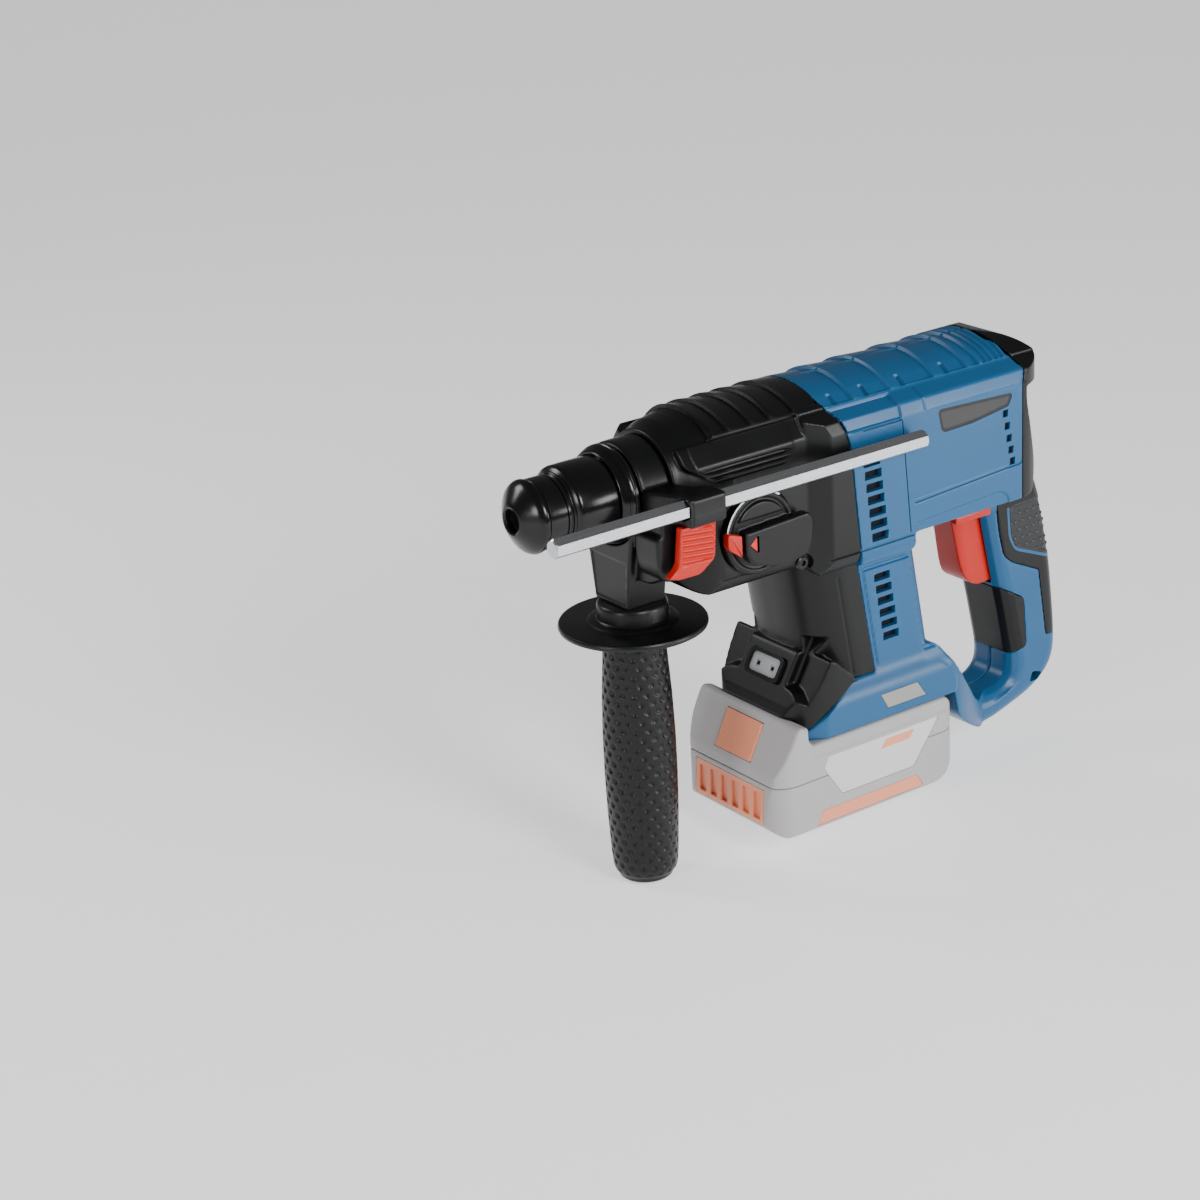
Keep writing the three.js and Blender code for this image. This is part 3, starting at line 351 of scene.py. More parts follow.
# The dotted pad's pale dot tips are painted highlights on its raised dots.
PAD_GREY = look("dotted_pad", (0.018, 0.019, 0.021), 0.5, grain=0.3, scale=1800, edge_wear_and_highlight=1.0, spec=0.35,
                wear_and_highlight_colour=(0.30, 0.30, 0.30))
GREY = look("dark_grey_moulding", (0.03, 0.031, 0.033), 0.5, grain=0.25, edge_wear_and_highlight=0.2)
SPECKLE = look("speckled_insert", (0.045, 0.042, 0.042), 0.6, grain=0.6, scale=1500, edge_wear_and_highlight=0.6, tint=0.4)
RED = look("red_moulding", (0.52, 0.011, 0.004), 0.32, grain=0.06, edge_wear_and_highlight=0.4, tint=0.05, spec=0.35,
           wear_and_highlight_colour=(0.80, 0.06, 0.03))
STEEL = look("bright_steel", (0.55, 0.56, 0.58), 0.2, metal=1.0, grain=0.08, scale=900, edge_wear_and_highlight=0.1,
             stretch=(0.06, 1, 1), streak=0.12)
DARK_STEEL = look("dark_steel", (0.22, 0.225, 0.23), 0.36, metal=1.0, grain=0.1, edge_wear_and_highlight=0.3)
COPPER = look("copper", (0.72, 0.33, 0.16), 0.35, metal=1.0, grain=0.2, scale=1500, edge_wear_and_highlight=0.1)
PLATE = look("blank_plate", (0.30, 0.295, 0.28), 0.42, metal=0.6, grain=0.05, edge_wear_and_highlight=0.1)
PACK = look("pack_moulding", (0.40, 0.385, 0.385), 0.5, grain=0.15, edge_wear_and_highlight=0.3, tint=0.04)
PACK_LIGHT = look("pack_light", (0.62, 0.60, 0.60), 0.5, grain=0.12, edge_wear_and_highlight=0.15, tint=0.03)
SALMON = look("pack_salmon", (0.80, 0.27, 0.15), 0.45, grain=0.08, edge_wear_and_highlight=0.2, tint=0.04)
LENS = look("lamp_lens", (0.42, 0.44, 0.46), 0.14, grain=0.02, edge_wear_and_highlight=0.0, coat=0.5)
BOARD = look("board", (0.03, 0.16, 0.07), 0.4, grain=0.1, edge_wear_and_highlight=0.1)
VOID = look("vent_shadow", (0.002, 0.004, 0.008), 0.7, grain=0.1, edge_wear_and_highlight=0.0, spec=0.2)
WHITE = look("white_mark", (0.65, 0.65, 0.65), 0.5, grain=0.05, edge_wear_and_highlight=0.0)

# ---------------------------------------------------------------- outlines (mm)

BODY_HALF, GEAR_HALF, HANDLE_HALF, COLUMN_HALF = 36.5, 30.8, 17.0, 32.0
BODY_BOTTOM, BAND_BOTTOM = -47.6, -56.5
DOME_Z = -10  # centre of the rounded top
COLUMN_TOP = -51.3
PACK_HALF = 37.5
GRIP_X = 67.4  # axis of the side grip
DIAL = (116.5, 0, -25.0)  # mode selector
CASE_SCREW = (143.6, 0, -47.8)
OPENING = [
    (213.3, -47.6), (216.4, -73, 12), (221.4, -103, 6), (225, -111, 6), (241, -133, 8), (256, -151, 8),
    (264, -156.5, 5), (281, -156.5, 7), (288.5, -152, 5), (290, -144, 8), (283.3, -112, 10), (279.5, -97, 10),
    (271.5, -60, 4), (246, -58, 4), (244, -47.6),
]
HANDLE = [
    (215, -30), (297, -30), (304.5, -43, 8), (309.5, -55, 8), (313.5, -70, 10), (318, -93, 20),
    (322, -134, 12), (321.5, -147, 8), (316, -157, 8), (304, -165, 8), (280, -172.5, 8), (270, -174, 5),
    (264, -171.5, 4), (250, -163, 6), (236, -152, 4), (232.3, -140, 2), (228, -125), (215, -100),
]
BEAM = [
    (215, -108), (224.2, -109.5, 5), (241, -133, 6), (256, -151, 6), (264, -156.5), (277, -156.5),
    (277, -172.9), (270, -174, 4), (264, -171.5, 4), (250, -163, 5), (236, -152, 4), (232.3, -136.7),
    (215, -136.7),
]
REAR_GRIP = [
    (276.8, 12), (330, 12), (330, -135), (312, -135), (306.5, -98), (288.5, -89.5, 3), (283.2, -85, 3),
    (280, -71.5, 4), (278, -57), (276.8, -45),
]
FRONT_GRIP = [
    (270, -99.8), (283, -102.5, 1), (296.5, -110.5, 3), (298.5, -137.1, 3), (288, -141), (270, -141),
]


def mirrored(points):
    return points + [(a, -b, *rest) for a, b, *rest in reversed(points)]


def section_mirrored(points):
    return points + [(-a, b, *rest) for a, b, *rest in reversed(points)]


def dome(radius=42.0, half=23.5, steps=12):
    reach = math.asin(half / radius)
    angles = [reach * (steps - i) / steps for i in range(steps)]
    return [(-radius * math.sin(a), DOME_Z + radius * math.cos(a)) for a in angles]


def body_section(half, ridge, bottom):
    lower = [(-half + 4, bottom, 3), (-half, bottom + 7, 3)]
    if ridge:
        side = [(-half, 11.5, 0.5), (-34.8, 17.3, 0.7), (-26.4, 21.3, 0.3), (-26.6, 22.5, 0.4)]
        left = lower + side + dome(half=20.8)
    else:
        left = lower + [(-half, 12.4, 0.8), (-25.5, 20.5)] + dome()
    return left + [(0, 32)] + [(-y, z, *rest) for y, z, *rest in reversed(left)]


def rear_plan():
    return mirrored([(60, 37.5), (268, 37.5, 3), (281, 35.6, 5), (288, 32.2, 6), (293, 27.5, 6),
        (296.5, 16, 10)])


def upper_block():
    outline = [
        (150, BAND_BOTTOM), (150, 40), (262, 40), (262, 32.2), (272, 31.8), (283, 29.5, 3), (290, 25.5, 4),
        (295, 19.5, 3), (296.5, 13.5, 2), (294, 8.6, 1), (280.4, 8, 1), (280.5, 0, 4), (285, -17),
        (290.5, -36, 6), (287, -47.6, 4), (208, BODY_BOTTOM, 2), (208, BAND_BOTTOM, 2),
    ]
    return common(
        prism("y", outline, -50, 50),
        prism("x", body_section(BODY_HALF, True, -60), 100, 330),
        prism("z", rear_plan(), -70, 60, steps=6),
    )


def column_block(top, bottom):
    plan = mirrored([
        (143.7, 9, 6), (146, 20, 7), (152, 28, 7), (162, COLUMN_HALF, 5), (206, COLUMN_HALF, 3),
        (213.3, 26, 4),
    ])
    ring = rounded(plan, 0, 6)
    rings = [[(x - LEAN * (z - COLUMN_TOP), y, z) for x, y in ring] for z in (bottom, top)]
    return new_object("column", *loft(rings))


def foot_block():
    outline = [(139.5, -133.9), (167.6, -108), (215, -108), (233, -129, 2), (232.3, -136.7), (141.4, -136.7)]
    plan = mirrored([(136, 27.5, 2), (141, 31.5, 3), (151, BODY_HALF, 1), (260, BODY_HALF)])
    section = section_mirrored([
        (-BODY_HALF, -175), (-BODY_HALF, -121, 3), (-COLUMN_HALF, -113, 3), (-COLUMN_HALF, -90),
    ])
    return common(
        prism("y", outline, -50, 50), prism("x", section, 100, 260), prism("z", plan, -150, -100),
    )


def beam_block():
    plan = mirrored([(210, BODY_HALF), (233, BODY_HALF, 10), (246, 31, 12), (262, 20.5, 12), (277.5, 8.5)])
    section = section_mirrored([
        (-BODY_HALF, -200), (-BODY_HALF, -121, 6), (-COLUMN_HALF, -113, 5), (-COLUMN_HALF, -90),
    ])
    return common(
        prism("y", BEAM, -50, 50), prism("z", plan, -200, -90, steps=6), prism("x", section, 100, 300),
    )


def handle_block(depth=0.0):
    half = HANDLE_HALF - depth
    outer = prism("y", inset(rounded(HANDLE), depth), -half, half, edge=8, steps=5)
    hole = rounded(OPENING)
    rings = []
    layers = [(-half - 3, 8.5), (-half, 7.2), (-half + 1, 4.4), (-half + 3, 1.8), (-half + 6.5, 0)]
    for y, flare in layers + [(-y, f) for y, f in reversed(layers)]:
        rings.append(lay("y", inset(hole, -flare - depth), y))
    gap = common(new_object("gap", *loft(rings)), box((240, 340), (-60, 60), (-175, -59)))
    return cut(outer, gap, prism("y", inset(hole, -depth), -40, 40))


def boundary_block(shift):
    edge = [(159, 40), (160, 25), (166, 12), (169, 3), (171, -20), (174, -50), (175.4, -60)]
    points = [(x + shift, z) for x, z in edge]
    points += [(184.6, -113.3 - shift), (167.6, -113.3 - shift), (139.7, -133.7 - shift),
        (120, -133.7 - shift),
               (40, -133.7), (40, 40)]
    return prism("y", points, -60, 60)


def half_space(side):
    return box((20, 340), (-80, -0.12) if side == "left" else (0.12, 80), (-210, 70))


# ---------------------------------------------------------------- blue clamshell

BANDS = [150.0, 179.4, 201.6, 229.0, 250.2, 258.0]  # front edges of the bands across the blue top
NOTCHES = [168.5, 187.5, 209.7, 237.1]
FINS = [258.6, 262.4, 266.2, 270.0, 273.8]
BLACK_BANDS = [84.0, 96.4, 107.5, 120.7, 131.8, 146.0, 170.0]


def shingles(x, starts, drop):
    """Bands across the top: each is highest at its front edge and sinks towards the next one."""
    h = np.zeros_like(x)
    for a, b in zip(starts[:-1], starts[1:]):
        t = np.clip((x - a) / (b - a), 0, 1)
        h = np.where((x >= a) & (x < b), -drop * t * (1 - step(x, b - 0.5, b)), h)
    return h


def blue_relief(x, y, z, n):
    ay = np.abs(y)
    top = (1 - step(ay, 26.0, 26.7)) * step(n[:, 2], 0.25, 0.5) * step(z, 18, 20)
    pads = top * step(ay, 20.6, 21.2)
    h = top * shingles(x, BANDS, 1.6)
    for g in NOTCHES:
        h -= 1.4 * pads * band(x, g - 1.3, g + 1.3, 0.3)
    for g in FINS:
        h -= 1.0 * top * band(x, g + 1.2, g + 3.8, 0.35)
    shoulder = step(ay, 26.9, 27.6) * step(z, 10.5, 11.4)
    h -= 1.3 * shoulder * (1 - step(x, 199.2, 199.8))
    h -= 0.5 * shoulder * band(x, 213.4, 214.4, 0.25)
    column = step(ay, 30.5, 31.6) * step(np.abs(n[:, 1]), 0.8, 0.95)
    lean = x + LEAN * (z - COLUMN_TOP)
    h -= 1.0 * column * (1 - band(lean, 177.0, 206, 0.4) * band(z, -113, -60.8, 0.4)) * band(z, -111, -59, 1)
    return h


def drafted(outline, surface, depth, side, draft=1.0):
    """A pocket cutter whose walls slope in by draft over its depth."""
    ring = rounded(outline, 0, 4)
    rings = [
        lay("y", inset(ring, -draft * 1.5), side * (surface + depth * 1.5)),
        lay("y", inset(ring, draft), side * (surface - depth)),
    ]
    return new_object("pocket", *loft(rings))


def side_pockets(side):
    """Recessed side panels, the lit ledge under the upper one, and the seams round them."""
    s = -1 if side == "left" else 1
    upper = [(214.3, 11), (277.3, 11), (278.5, -8), (277, -30, 3), (268, -30.2), (206.5, -33.4, 2),
        (206.5, -9, 5),
             (214.3, -3, 5)]
    lower = [(206.5, -42.8, 1), (262, -39.9, 3), (268, -44, 3), (268, -52), (206.5, -52)]
    ledge = []
    for x, z in ((206.8, -33.7), (267.0, -30.7)):
        ledge.append([(x, s * 35.6, z + 2.4), (x, s * 40, z + 2.4), (x, s * 40, z), (x, s * 36.55, z)])
    seams = [
        [(199.6, 9.6), (200.2, 9.6), (204.6, -46.6), (204.0, -46.6)],
        [(176, 10.4), (199.5, 10.4), (199.5, 9.5), (176, 9.5)],
        [(160, -47.5), (209, -47.5), (209, -48.9), (160, -48.9)],
    ]
    solids = [drafted(upper, BODY_HALF, 0.8, s, 0.5), drafted(lower, BODY_HALF, 0.9, s, 0.8),
        new_object("ledge", *loft(ledge))]
    return solids + [side_slab(s, seam, 40, 35.4) for seam in seams]


def slot_vents(depth=5):
    """Cutters for the seven upper and six lower slots of both sides."""
    slots = [(175.72 + 0.75 * i, -6.0 - 6.25 * i, 10.2, 4.3, BODY_HALF) for i in range(7)]
    slots += [(184.8 + i, -66 - 6.2 * i, 9.8, 4.0, COLUMN_HALF) for i in range(6)]
    solids = []
    for x, z, w, h, side in slots:
        outline = [(x, z - h / 2), (x + w, z - h / 2), (x + w, z + h / 2), (x, z + h / 2)]
        for sign in (-1, 1):
            solids.append(side_slab(sign, outline, side + 1, side - depth, corner=0.5, steps=2))
    return solids


def many(solids):
    """Several separate solids as one object."""
    first = solids[0]
    bm = bmesh.new()
    for s in solids:
        bm.from_mesh(s.data)
    bm.to_mesh(first.data)
    bm.free()
    for s in solids[1:]:
        bpy.data.objects.remove(s)
    return first


def square_vents():
    solids = []
    for x, z in ((264, -0.6), (265.2, -7.1), (266.4, -13.5), (267.6, -19.5), (268.6, -25.5)):
        outline = [(x, z - 3.6), (x + 3.2, z - 3.6), (x + 3.6, z), (x + 0.2, z)]
        for sign in (-1, 1):
            solids.append(side_slab(sign, outline, BODY_HALF + 1, BODY_HALF - 3.4))
    return solids


def blue_body():
    grips = join(prism("y", REAR_GRIP, -60, 60), prism("y", FRONT_GRIP, -60, 60))
    cap = cap_region(0.25)
    body = join(upper_block(), column_block(-50, -122), foot_block(), beam_block())
    body = cut(body, prism("y", OPENING, -60, 60))
    body = join(body, handle_block())
    # under the soft grips the shell steps in
    under = join(upper_shrunk(), handle_block(2.9))
    under = common(under, copy(grips))
    body = cut(body, grips)
    body = join(body, under)
    body = cut(body, cap, boundary_block(0.12), box((120, 170), (-28.5, 28.5), (-140, -126.6)),
               box((150, 222.8), (-28, 28), (-140, -124)),
               prism("y", [(258, -59.6), (276, -59.6), (283, -100.2), (258, -100.2)], -10, 10),
               box((242.6, 266.8), (-60, 60), (-56.9, -50.1)))
    return body


def upper_shrunk():
    block = upper_block()
    block.data.transform(Matrix.Translation((284, 0, -18)) @ Matrix.Diagonal((0.93, 0.92, 0.94,
        1)) @ Matrix.Translation((-284, 0, 18)))
    return common(block, box((270, 330), (-60, 60), (-50, 60)))


def cap_region(grow):
    points = [(272.2 - grow, 31.8), (262, 60), (340, 60), (340, 9 - grow), (294.5, 9 - grow), (287, 8 - grow),
        (276.8 - grow, 11.4 - grow),
              (278.5 - grow, 16), (277.7 - grow, 22)]
    return prism("y", points, -60, 60)


def vents():
    return many(slot_vents() + square_vents())


def build_blue():
    body = blue_body()
    for side in ("left", "right"):
        piece = common(copy(body), half_space(side))
        remesh(piece, 0.7, 3)
        displace(piece, blue_relief)
        piece = cut(piece, *side_pockets(side), vents(), insert_pocket(), plate_pocket(), lanyard_slot())
        place(piece, f"{side}_shell", "housing", BLUE, [f"{side}_housing"])
    bpy.data.objects.remove(body)
    place(many(vent_shadow_sheets()), "vent_shadow_sheets", "housing", VOID)


# Dark sheets behind the vent slots: painted shade inside the vents.
def vent_shadow_sheets():
    out = []
    for sign in (-1, 1):
        for x0, x1, z0, z1, side in ((174, 192, -48, -2, BODY_HALF), (183, 201, -101, -62, COLUMN_HALF)):
            outline = [(x0 + 1, z1), (x1 - 5, z1), (x1, z0), (x0 + 5, z0)]
            out.append(side_slab(sign, outline, side - 3.0, side - 4.6))
        outline = [(263, 0), (268.5, 0), (273, -29.5), (267.5, -29.5)]
        out.append(side_slab(sign, outline, BODY_HALF - 2.4, BODY_HALF - 3.2))
    return out


INSERT = [(224, 8, 1), (269, 6, 1), (267, 2, 1), (245, -1, 3), (226, -1.5, 2)]
FOOT_PLATE = [(184, -124.2), (207, -124.2), (212.5, -132), (188.5, -132)]


def insert_pocket():
    return many([side_slab(s, inset(rounded(INSERT), -1.2), 50, 34.6) for s in (-1, 1)])


def lanyard_slot():
    outline = [(302.5, -152.5, 1.5), (309.5, -154.5, 1.5), (308, -158.8, 1.5), (300.5, -157.8, 1.5)]
    return many([side_slab(s, rounded(outline), 30, 10.5) for s in (-1, 1)])


def plate_pocket():
    return many([side_slab(s, inset(FOOT_PLATE, -0.25), 50, 35.9) for s in (-1, 1)])


def speckle(x, y, z, n):
    return 0.13 * np.sin(x * 4.1) * np.sin(z * 4.1 + x) * (np.abs(n[:, 1]) > 0.7)


def build_inserts():
    for side, s in (("left", -1), ("right", 1)):
        border = side_slab(s, inset(rounded(INSERT), -1.1), 35.5, 34.7)
        place(border, f"{side}_insert_border", "housing", BLACK)
        piece = side_slab(s, rounded(INSERT), 35.55, 34.8)
        remesh(piece, 0.4, 1)
        displace(piece, speckle)
        place(piece, f"{side}_insert_pad", "housing", SPECKLE, [f"{side}_insert"])


# ---------------------------------------------------------------- soft grips and rear cap


PAD = [(287.2, -59.6, 2), (330, -57.5), (330, -97), (291.6, -82.4, 3), (288.2, -75.2, 3)]
INLAY = [(284.8, -60, 0.5), (286.2, -59.8, 0.5), (287.2, -75, 3), (290.9, -82.3, 3), (330, -98), (330, -99.8),
         (290.2, -83.6, 3), (285.9, -75.6, 3)]


def build_rear():
    region = prism("y", rounded(inset(REAR_GRIP, 0.15)), -60, 60)
    grip = join(upper_block(), handle_block())
    grip = common(cut(grip, cap_region(0.1)), region)
    shell = join(upper_shrunk(), handle_block(2.9))
    grip = cut(grip, common(shell, box((262, 330), (-60, 60), (-150, 60))))
    remesh(grip, 0.5, 3)

    def relief(x, y, z, n):
        pad = step(x - 287.8 - 0.06 * (-59.6 - z), 0, 0.6) * step(-60.2 - z, 0,
            0.6) * step(z + 81.6 + (x - 291.6) * 0.38, 0, 0.6)
        row = np.floor((z + 62) / 4.4)
        du = (x + 0.9 * (row % 2) * 2.4) % 4.8 - 2.4
        dv = (z + 62) % 4.4 - 2.2
        dots = np.exp(-((du / 0.95) ** 2 + (dv / 0.75) ** 2) ** 2)
        sides = step(np.abs(y), 4, 6)
        rear = step(n[:, 0], 0.6, 0.8) * (1 - pad) * step(z, -92, -90) * (1 - step(z, 4, 6))
        return pad * sides * (0.7 * dots - 0.45) - 0.35 * rear * band(np.abs(y), 9, 10, 0.4)

    displace(grip, relief)
    pad = common(copy(grip), prism("y", PAD, -60, 60))
    inlay = common(copy(grip), prism("y", INLAY, -60, 60), box((280, 330), (-60, 60), (-120, -58)))
    grip = cut(grip, prism("y", PAD, -60, 60), prism("y", INLAY, -60, 60))
    place(grip, "rear_soft_grip", "housing", RUBBER, ["rear_grip"])
    place(pad, "rear_grip_pad", "housing", PAD_GREY)
    place(inlay, "rear_grip_inlay", "housing", BLUE)
    outline = [(272.4, 60), (272.4, 31.7), (277.9, 22), (278.7, 16), (277, 11.6), (280.6, 8.2), (294, 8.6),
        (330, 9), (330, 60)]
    cap = common(
        prism("y", [(262, 40), (272.2, 31.8), (283, 29.5, 3), (290, 25.5, 4), (295, 19.5, 3),
        (296.5, 13.5, 2), (294, 8.6, 1),
                    (280.6, 8), (277, 11.6), (270, 11.6)], -50, 50),
        prism("x", body_section(BODY_HALF, True, -60), 100, 330),
        prism("z", rear_plan(), -70, 60, steps=6),
        prism("y", outline, -60, 60),
    )
    remesh(cap, 0.5, 3)
    place(cap, "rear_visor", "housing", BLACK, ["rear_cap"])


def build_front_grip():
    region = prism("y", rounded(inset(FRONT_GRIP, 0.15)), -60, 60)
    grip = cut(common(handle_block(), region), handle_block(2.9))
    remesh(grip, 0.5, 3)
    place(grip, "front_soft_grip", "housing", RUBBER, ["front_grip"])


# ---------------------------------------------------------------- black gear housing and motor cover


def gear_body():
    nose = revolve("x", [
        (59.5, 14.4), (59.5, 19.9), (76, 19.9), (76, 24.8), (76.6, 25.5), (78, 25.6), (79.5, 26.2),
        (84, 28.2), (90, 30.2), (98, 32), (104, 32), (104, 14.4),
    ])
    outline = [(88, 36), (176, 36), (176, -51), (90, -51, 8), (81.5, -46, 8), (79.8, -36, 6), (79.8, 20)]
    front = mirrored([(79.8, 13, 3), (84, 21, 5), (92, 28.5, 4), (98, 31, 3), (180, 31)])
    limit = revolve("x", [(70, 0), (70, 22), (79, 26), (98, 33), (112, 52), (124, 80), (200, 80), (200, 0)])
    slab = common(prism("y", outline, -50, 50), prism("x", body_section(GEAR_HALF, False, -51.2), 70, 180),
                  prism("z", front, -70, 60))
    high = common(copy(slab), box((60, 200), (-50, 50), (-14, 50)), limit)
    low = common(slab, box((60, 200), (-50, 50), (-60, -13.8)))
    bar = common(prism("x", body_section(BODY_HALF, True, BAND_BOTTOM), 146, 180),
                 prism("y", [(146, -50, 2), (152, BAND_BOTTOM, 2), (180, BAND_BOTTOM), (180, 40), (146, 40)],
                 -50, 50),
                 prism("z", mirrored([(146, 30), (147, 30.8), (157, BODY_HALF), (180, BODY_HALF)]), -60, 40))
    arm_sweep = revolve("x", [(70, 0), (70, 21.3), (79.5, 29.4), (85, 33.9), (150, 60), (150, 0)])
    label = []  # facets that carry a blank label, with a rounded front end
    for s in (-1, 1):
        facet = prism("x", [(s * 25.2, 21.0), (s * 31.2, 12.2, 0.4), (s * 30.8, 3), (s * 20, 3),
            (s * 20, 19)], 79.5, 139)
        label.append(common(facet, prism("y", [(79.2, 24), (139, 24), (139, 3), (97, 3), (86, 9, 3),
            (80.2, 12, 2)], -50, 50)))
    body = join(nose, high, low, bar, common(join(*label), arm_sweep))
    return common(body, boundary_block(-0.12))


def gear_relief(x, y, z, n):
    ay = np.abs(y)
    top = (1 - step(ay, 23.6, 24.4)) * step(z, 18, 20) * step(x, 84, 86) * step(n[:, 2], 0.2, 0.5)
    h = top * shingles(x, BLACK_BANDS, 1.6)
    side = step(ay, 29.4, 30.4) * step(np.abs(n[:, 1]), 0.6, 0.9) * (1 - step(x, 144, 146)) * step(x, 84, 88)
    panel = np.maximum(
        band(z, -44.4, -43.0, 0.3) * band(x, 92, 138, 1.0),
        band((z + 43.6) + (x - 90) * 1.9, -1.0, 1.0, 0.6) * band(z, -43.6, -37, 0.5),
    )
    h -= 0.6 * side * panel
    return h


def flutes():
    """Three long scallops under each label facet."""
    out = []
    for s in (-1, 1):
        for i, z in enumerate((9.4, 6.7, 4.1)):
            a = 86.5 + 2.5 * i
            out.append(revolve("x", [(a, 0), (a + 5, 1.3), (133, 1.3), (138.5, 0)], (0, s * 31.0, z), 24))
        out.append(side_slab(s, [(150, -47.5), (180, -47.5), (180, -48.9), (150, -48.9)], 40, 35.2))
        seam = [(s * 24.6, 22.4), (s * 25.4, 22.2), (s * 25.6, 20.9), (s * 24.4, 21.2)]
        out.append(prism("x", seam, 82, 146))
    return out


def build_gear_housing():
    body = gear_body()
    remesh(body, 0.6, 3)
    displace(body, gear_relief)
    body = cut(body, *flutes())
    screw = revolve("y", [(-33, 0), (-33, 5.2), (-29.2, 4.6), (-29.2, 0)], CASE_SCREW, 48)
    dial = revolve("y", [(-36, 0), (-36, 21), (-29.3, 20.7), (-29.3, 0)], DIAL, 96)
    body = cut(body, dial, screw)
    place(body, "gear_case", "housing", BLACK, ["gear_housing"], angle=40)
    head = revolve("y", [(-30.4, 0), (-30.4, 2.6), (-30.0, 3.2), (-28.8, 3.3), (-28.8, 0)], CASE_SCREW, 40)
    head = cut(head, prism("y", [(143.6 + 1.5 * math.cos(a), -47.8 + 1.5 * math.sin(a))
                                 for a in np.arange(6) * math.pi / 3], -31, -29.4))
    place(head, "case_screw", "housing", BLACK)


def cover_foot():
    outline = [(139.5, -133.4), (139, -127.5), (134.3, -125.5), (136, -121), (149.8, -97.5, 2), (157, -99.5),
        (172, -114.5),
               (167.5, -113.1)]
    plan = mirrored([(130, 14), (134.2, 22, 5), (139, 30, 5), (147, 34.5, 5), (158, 36, 4), (200, 36)])
    return common(prism("y", outline, -50, 50), prism("z", plan, -150, -80))


def build_motor_cover():
    body = join(column_block(-51.0, -113.5), cover_foot())
    body = common(body, boundary_block(-0.12))
    beside = [(17.5, -90), (17.5, -113, 1), (24, -114, 2), (31, -118.5, 1), (37, -123), (50, -123), (50, -90)]
    shoulder = join(prism("x", beside, 120, 160), prism("x", [(-p[0], *p[1:]) for p in beside], 120, 160))
    body = cut(body, box((120, 176), (-28.5, 28.5), (-140, -126.6)),
        common(shoulder, slope_block(60, 90, 14, 9)))
    remesh(body, 0.65, 3)

    def relief(x, y, z, n):
        lean = x + LEAN * (z - COLUMN_TOP)
        side = step(np.abs(y), 30.6, 31.6) * band(z, -112, -60)
        return -0.5 * side * band(lean, 161, 162.2, 0.4)

    displace(body, relief)
    body = cut(body, slope_block(13.2, 25.0, 1.3, 0.5), slope_block(11.2, 22.6, 8, -1.0))
    place(body, "motor_case", "housing", BLACK, ["motor_cover"], angle=40)
    bezel = cut(slope_block(13.0, 24.8, 2.6, 1.6, 3.0), slope_block(9.4, 20.6, 6, 2, 2.0))
    place(bezel, "lamp_bezel", "housing", GLOSS)
    glass = slope_block(9.3, 20.5, 1.8, 0.5, 2.0)
    for dx in (-5.2, 5.2):
        glass = cut(glass, slope_block(3.2, 3.2, 0.9, 0.8, 0.8, along=0.5, across=dx))
    place(glass, "lamp_window", "housing", LENS, ["lamp_lens"])
    chips = many([slope_block(1.8, 1.8, 0.5, 0.1, 0, along=0.5, across=dx) for dx in (-5.2, 5.2)])
    place(chips, "lamp_chips", "housing", VOID)


def slope_block(length, width, thickness, proud, corner=0.0, along=0.0, across=0.0):
    """A rounded block lying on the sloping face that carries the lamp."""
    top, foot = np.array([149.8, -97.5]), np.array([136.0, -121.0])
    down = (foot - top) / np.linalg.norm(foot - top)
    out = np.array([down[1], -down[0]])
    middle = np.array([143.6, -108.0])
    ring = rounded([(-length / 2, -width / 2), (length / 2, -width / 2), (length / 2, width / 2),
        (-length / 2, width / 2)],
                   corner, 4)
    rings = []
    for h in (proud, proud - thickness):
        level = []
        for s, w in ring:
            p = middle + down * (s + along) + out * h
            level.append((p[0], w + across, p[1]))
        rings.append(level)
    return new_object("slope", *loft(rings))


# ---------------------------------------------------------------- chuck


def build_chuck():
    cap = revolve("x", [
        (6.2, 5.3), (5.5, 5.7), (5.2, 6.4), (5.4, 7.2), (6.1, 8.5), (7.4, 10.6), (8.8, 12.8), (10.0, 14.5),
        (11.2, 15.9), (12.4, 16.6), (13.4, 17.0), (14.2, 17.0), (14.8, 16.8), (15.0, 16.5), (15.0, 9.8),
        (8.2, 9.8), (8.2, 5.3),
    ])
    place(cap, "dust_boot", "spindle", GLOSS, ["dust_cap"])
    ring = revolve("x", [
        (15.3, 9.8), (15.3, 15.9), (15.7, 16.3), (16.6, 16.4), (24.2, 16.4), (24.5, 15.8), (24.9, 15.8),
        (25.2, 16.4), (26, 16.4), (26.3, 15.8), (26.7, 15.8), (27.2, 16.3), (27.2, 9.8),
    ])
    place(ring, "chuck_collar", "spindle", GLOSS, ["chuck_ring"])
    sleeve = revolve("x", [
        (27.6, 9.8), (27.6, 16.6), (27.9, 17.0), (28.4, 17.2), (28.7, 16.9), (29.0, 17.3), (29.6, 18.4),
        (30.4, 19.0), (31.5, 19.25), (40, 19.35), (49.3, 19.4), (50.1, 19.2), (50.4, 18.8), (50.4, 17),
        (31, 17), (31, 9.8),
    ])
    place(sleeve, "sleeve_cover", "sleeve", GLOSS, ["locking_sleeve"])
    guard = revolve("x", [
        (50.8, 19.8), (50.8, 20.3), (51.1, 20.7), (52.5, 21.5), (53.6, 22.1), (54, 21.9), (54.4, 22.2),
        (55.2, 22.75), (56.0, 22.9), (56.3, 22.5), (56.7, 22.5), (57.0, 22.95), (58.2, 23), (58.6, 22.7),
        (58.6, 9.8), (57.2, 9.8), (57.2, 19.8),
    ])
    place(guard, "sleeve_guard", "spindle", GLOSS, ["guard_ring"])


# ---------------------------------------------------------------- side handle


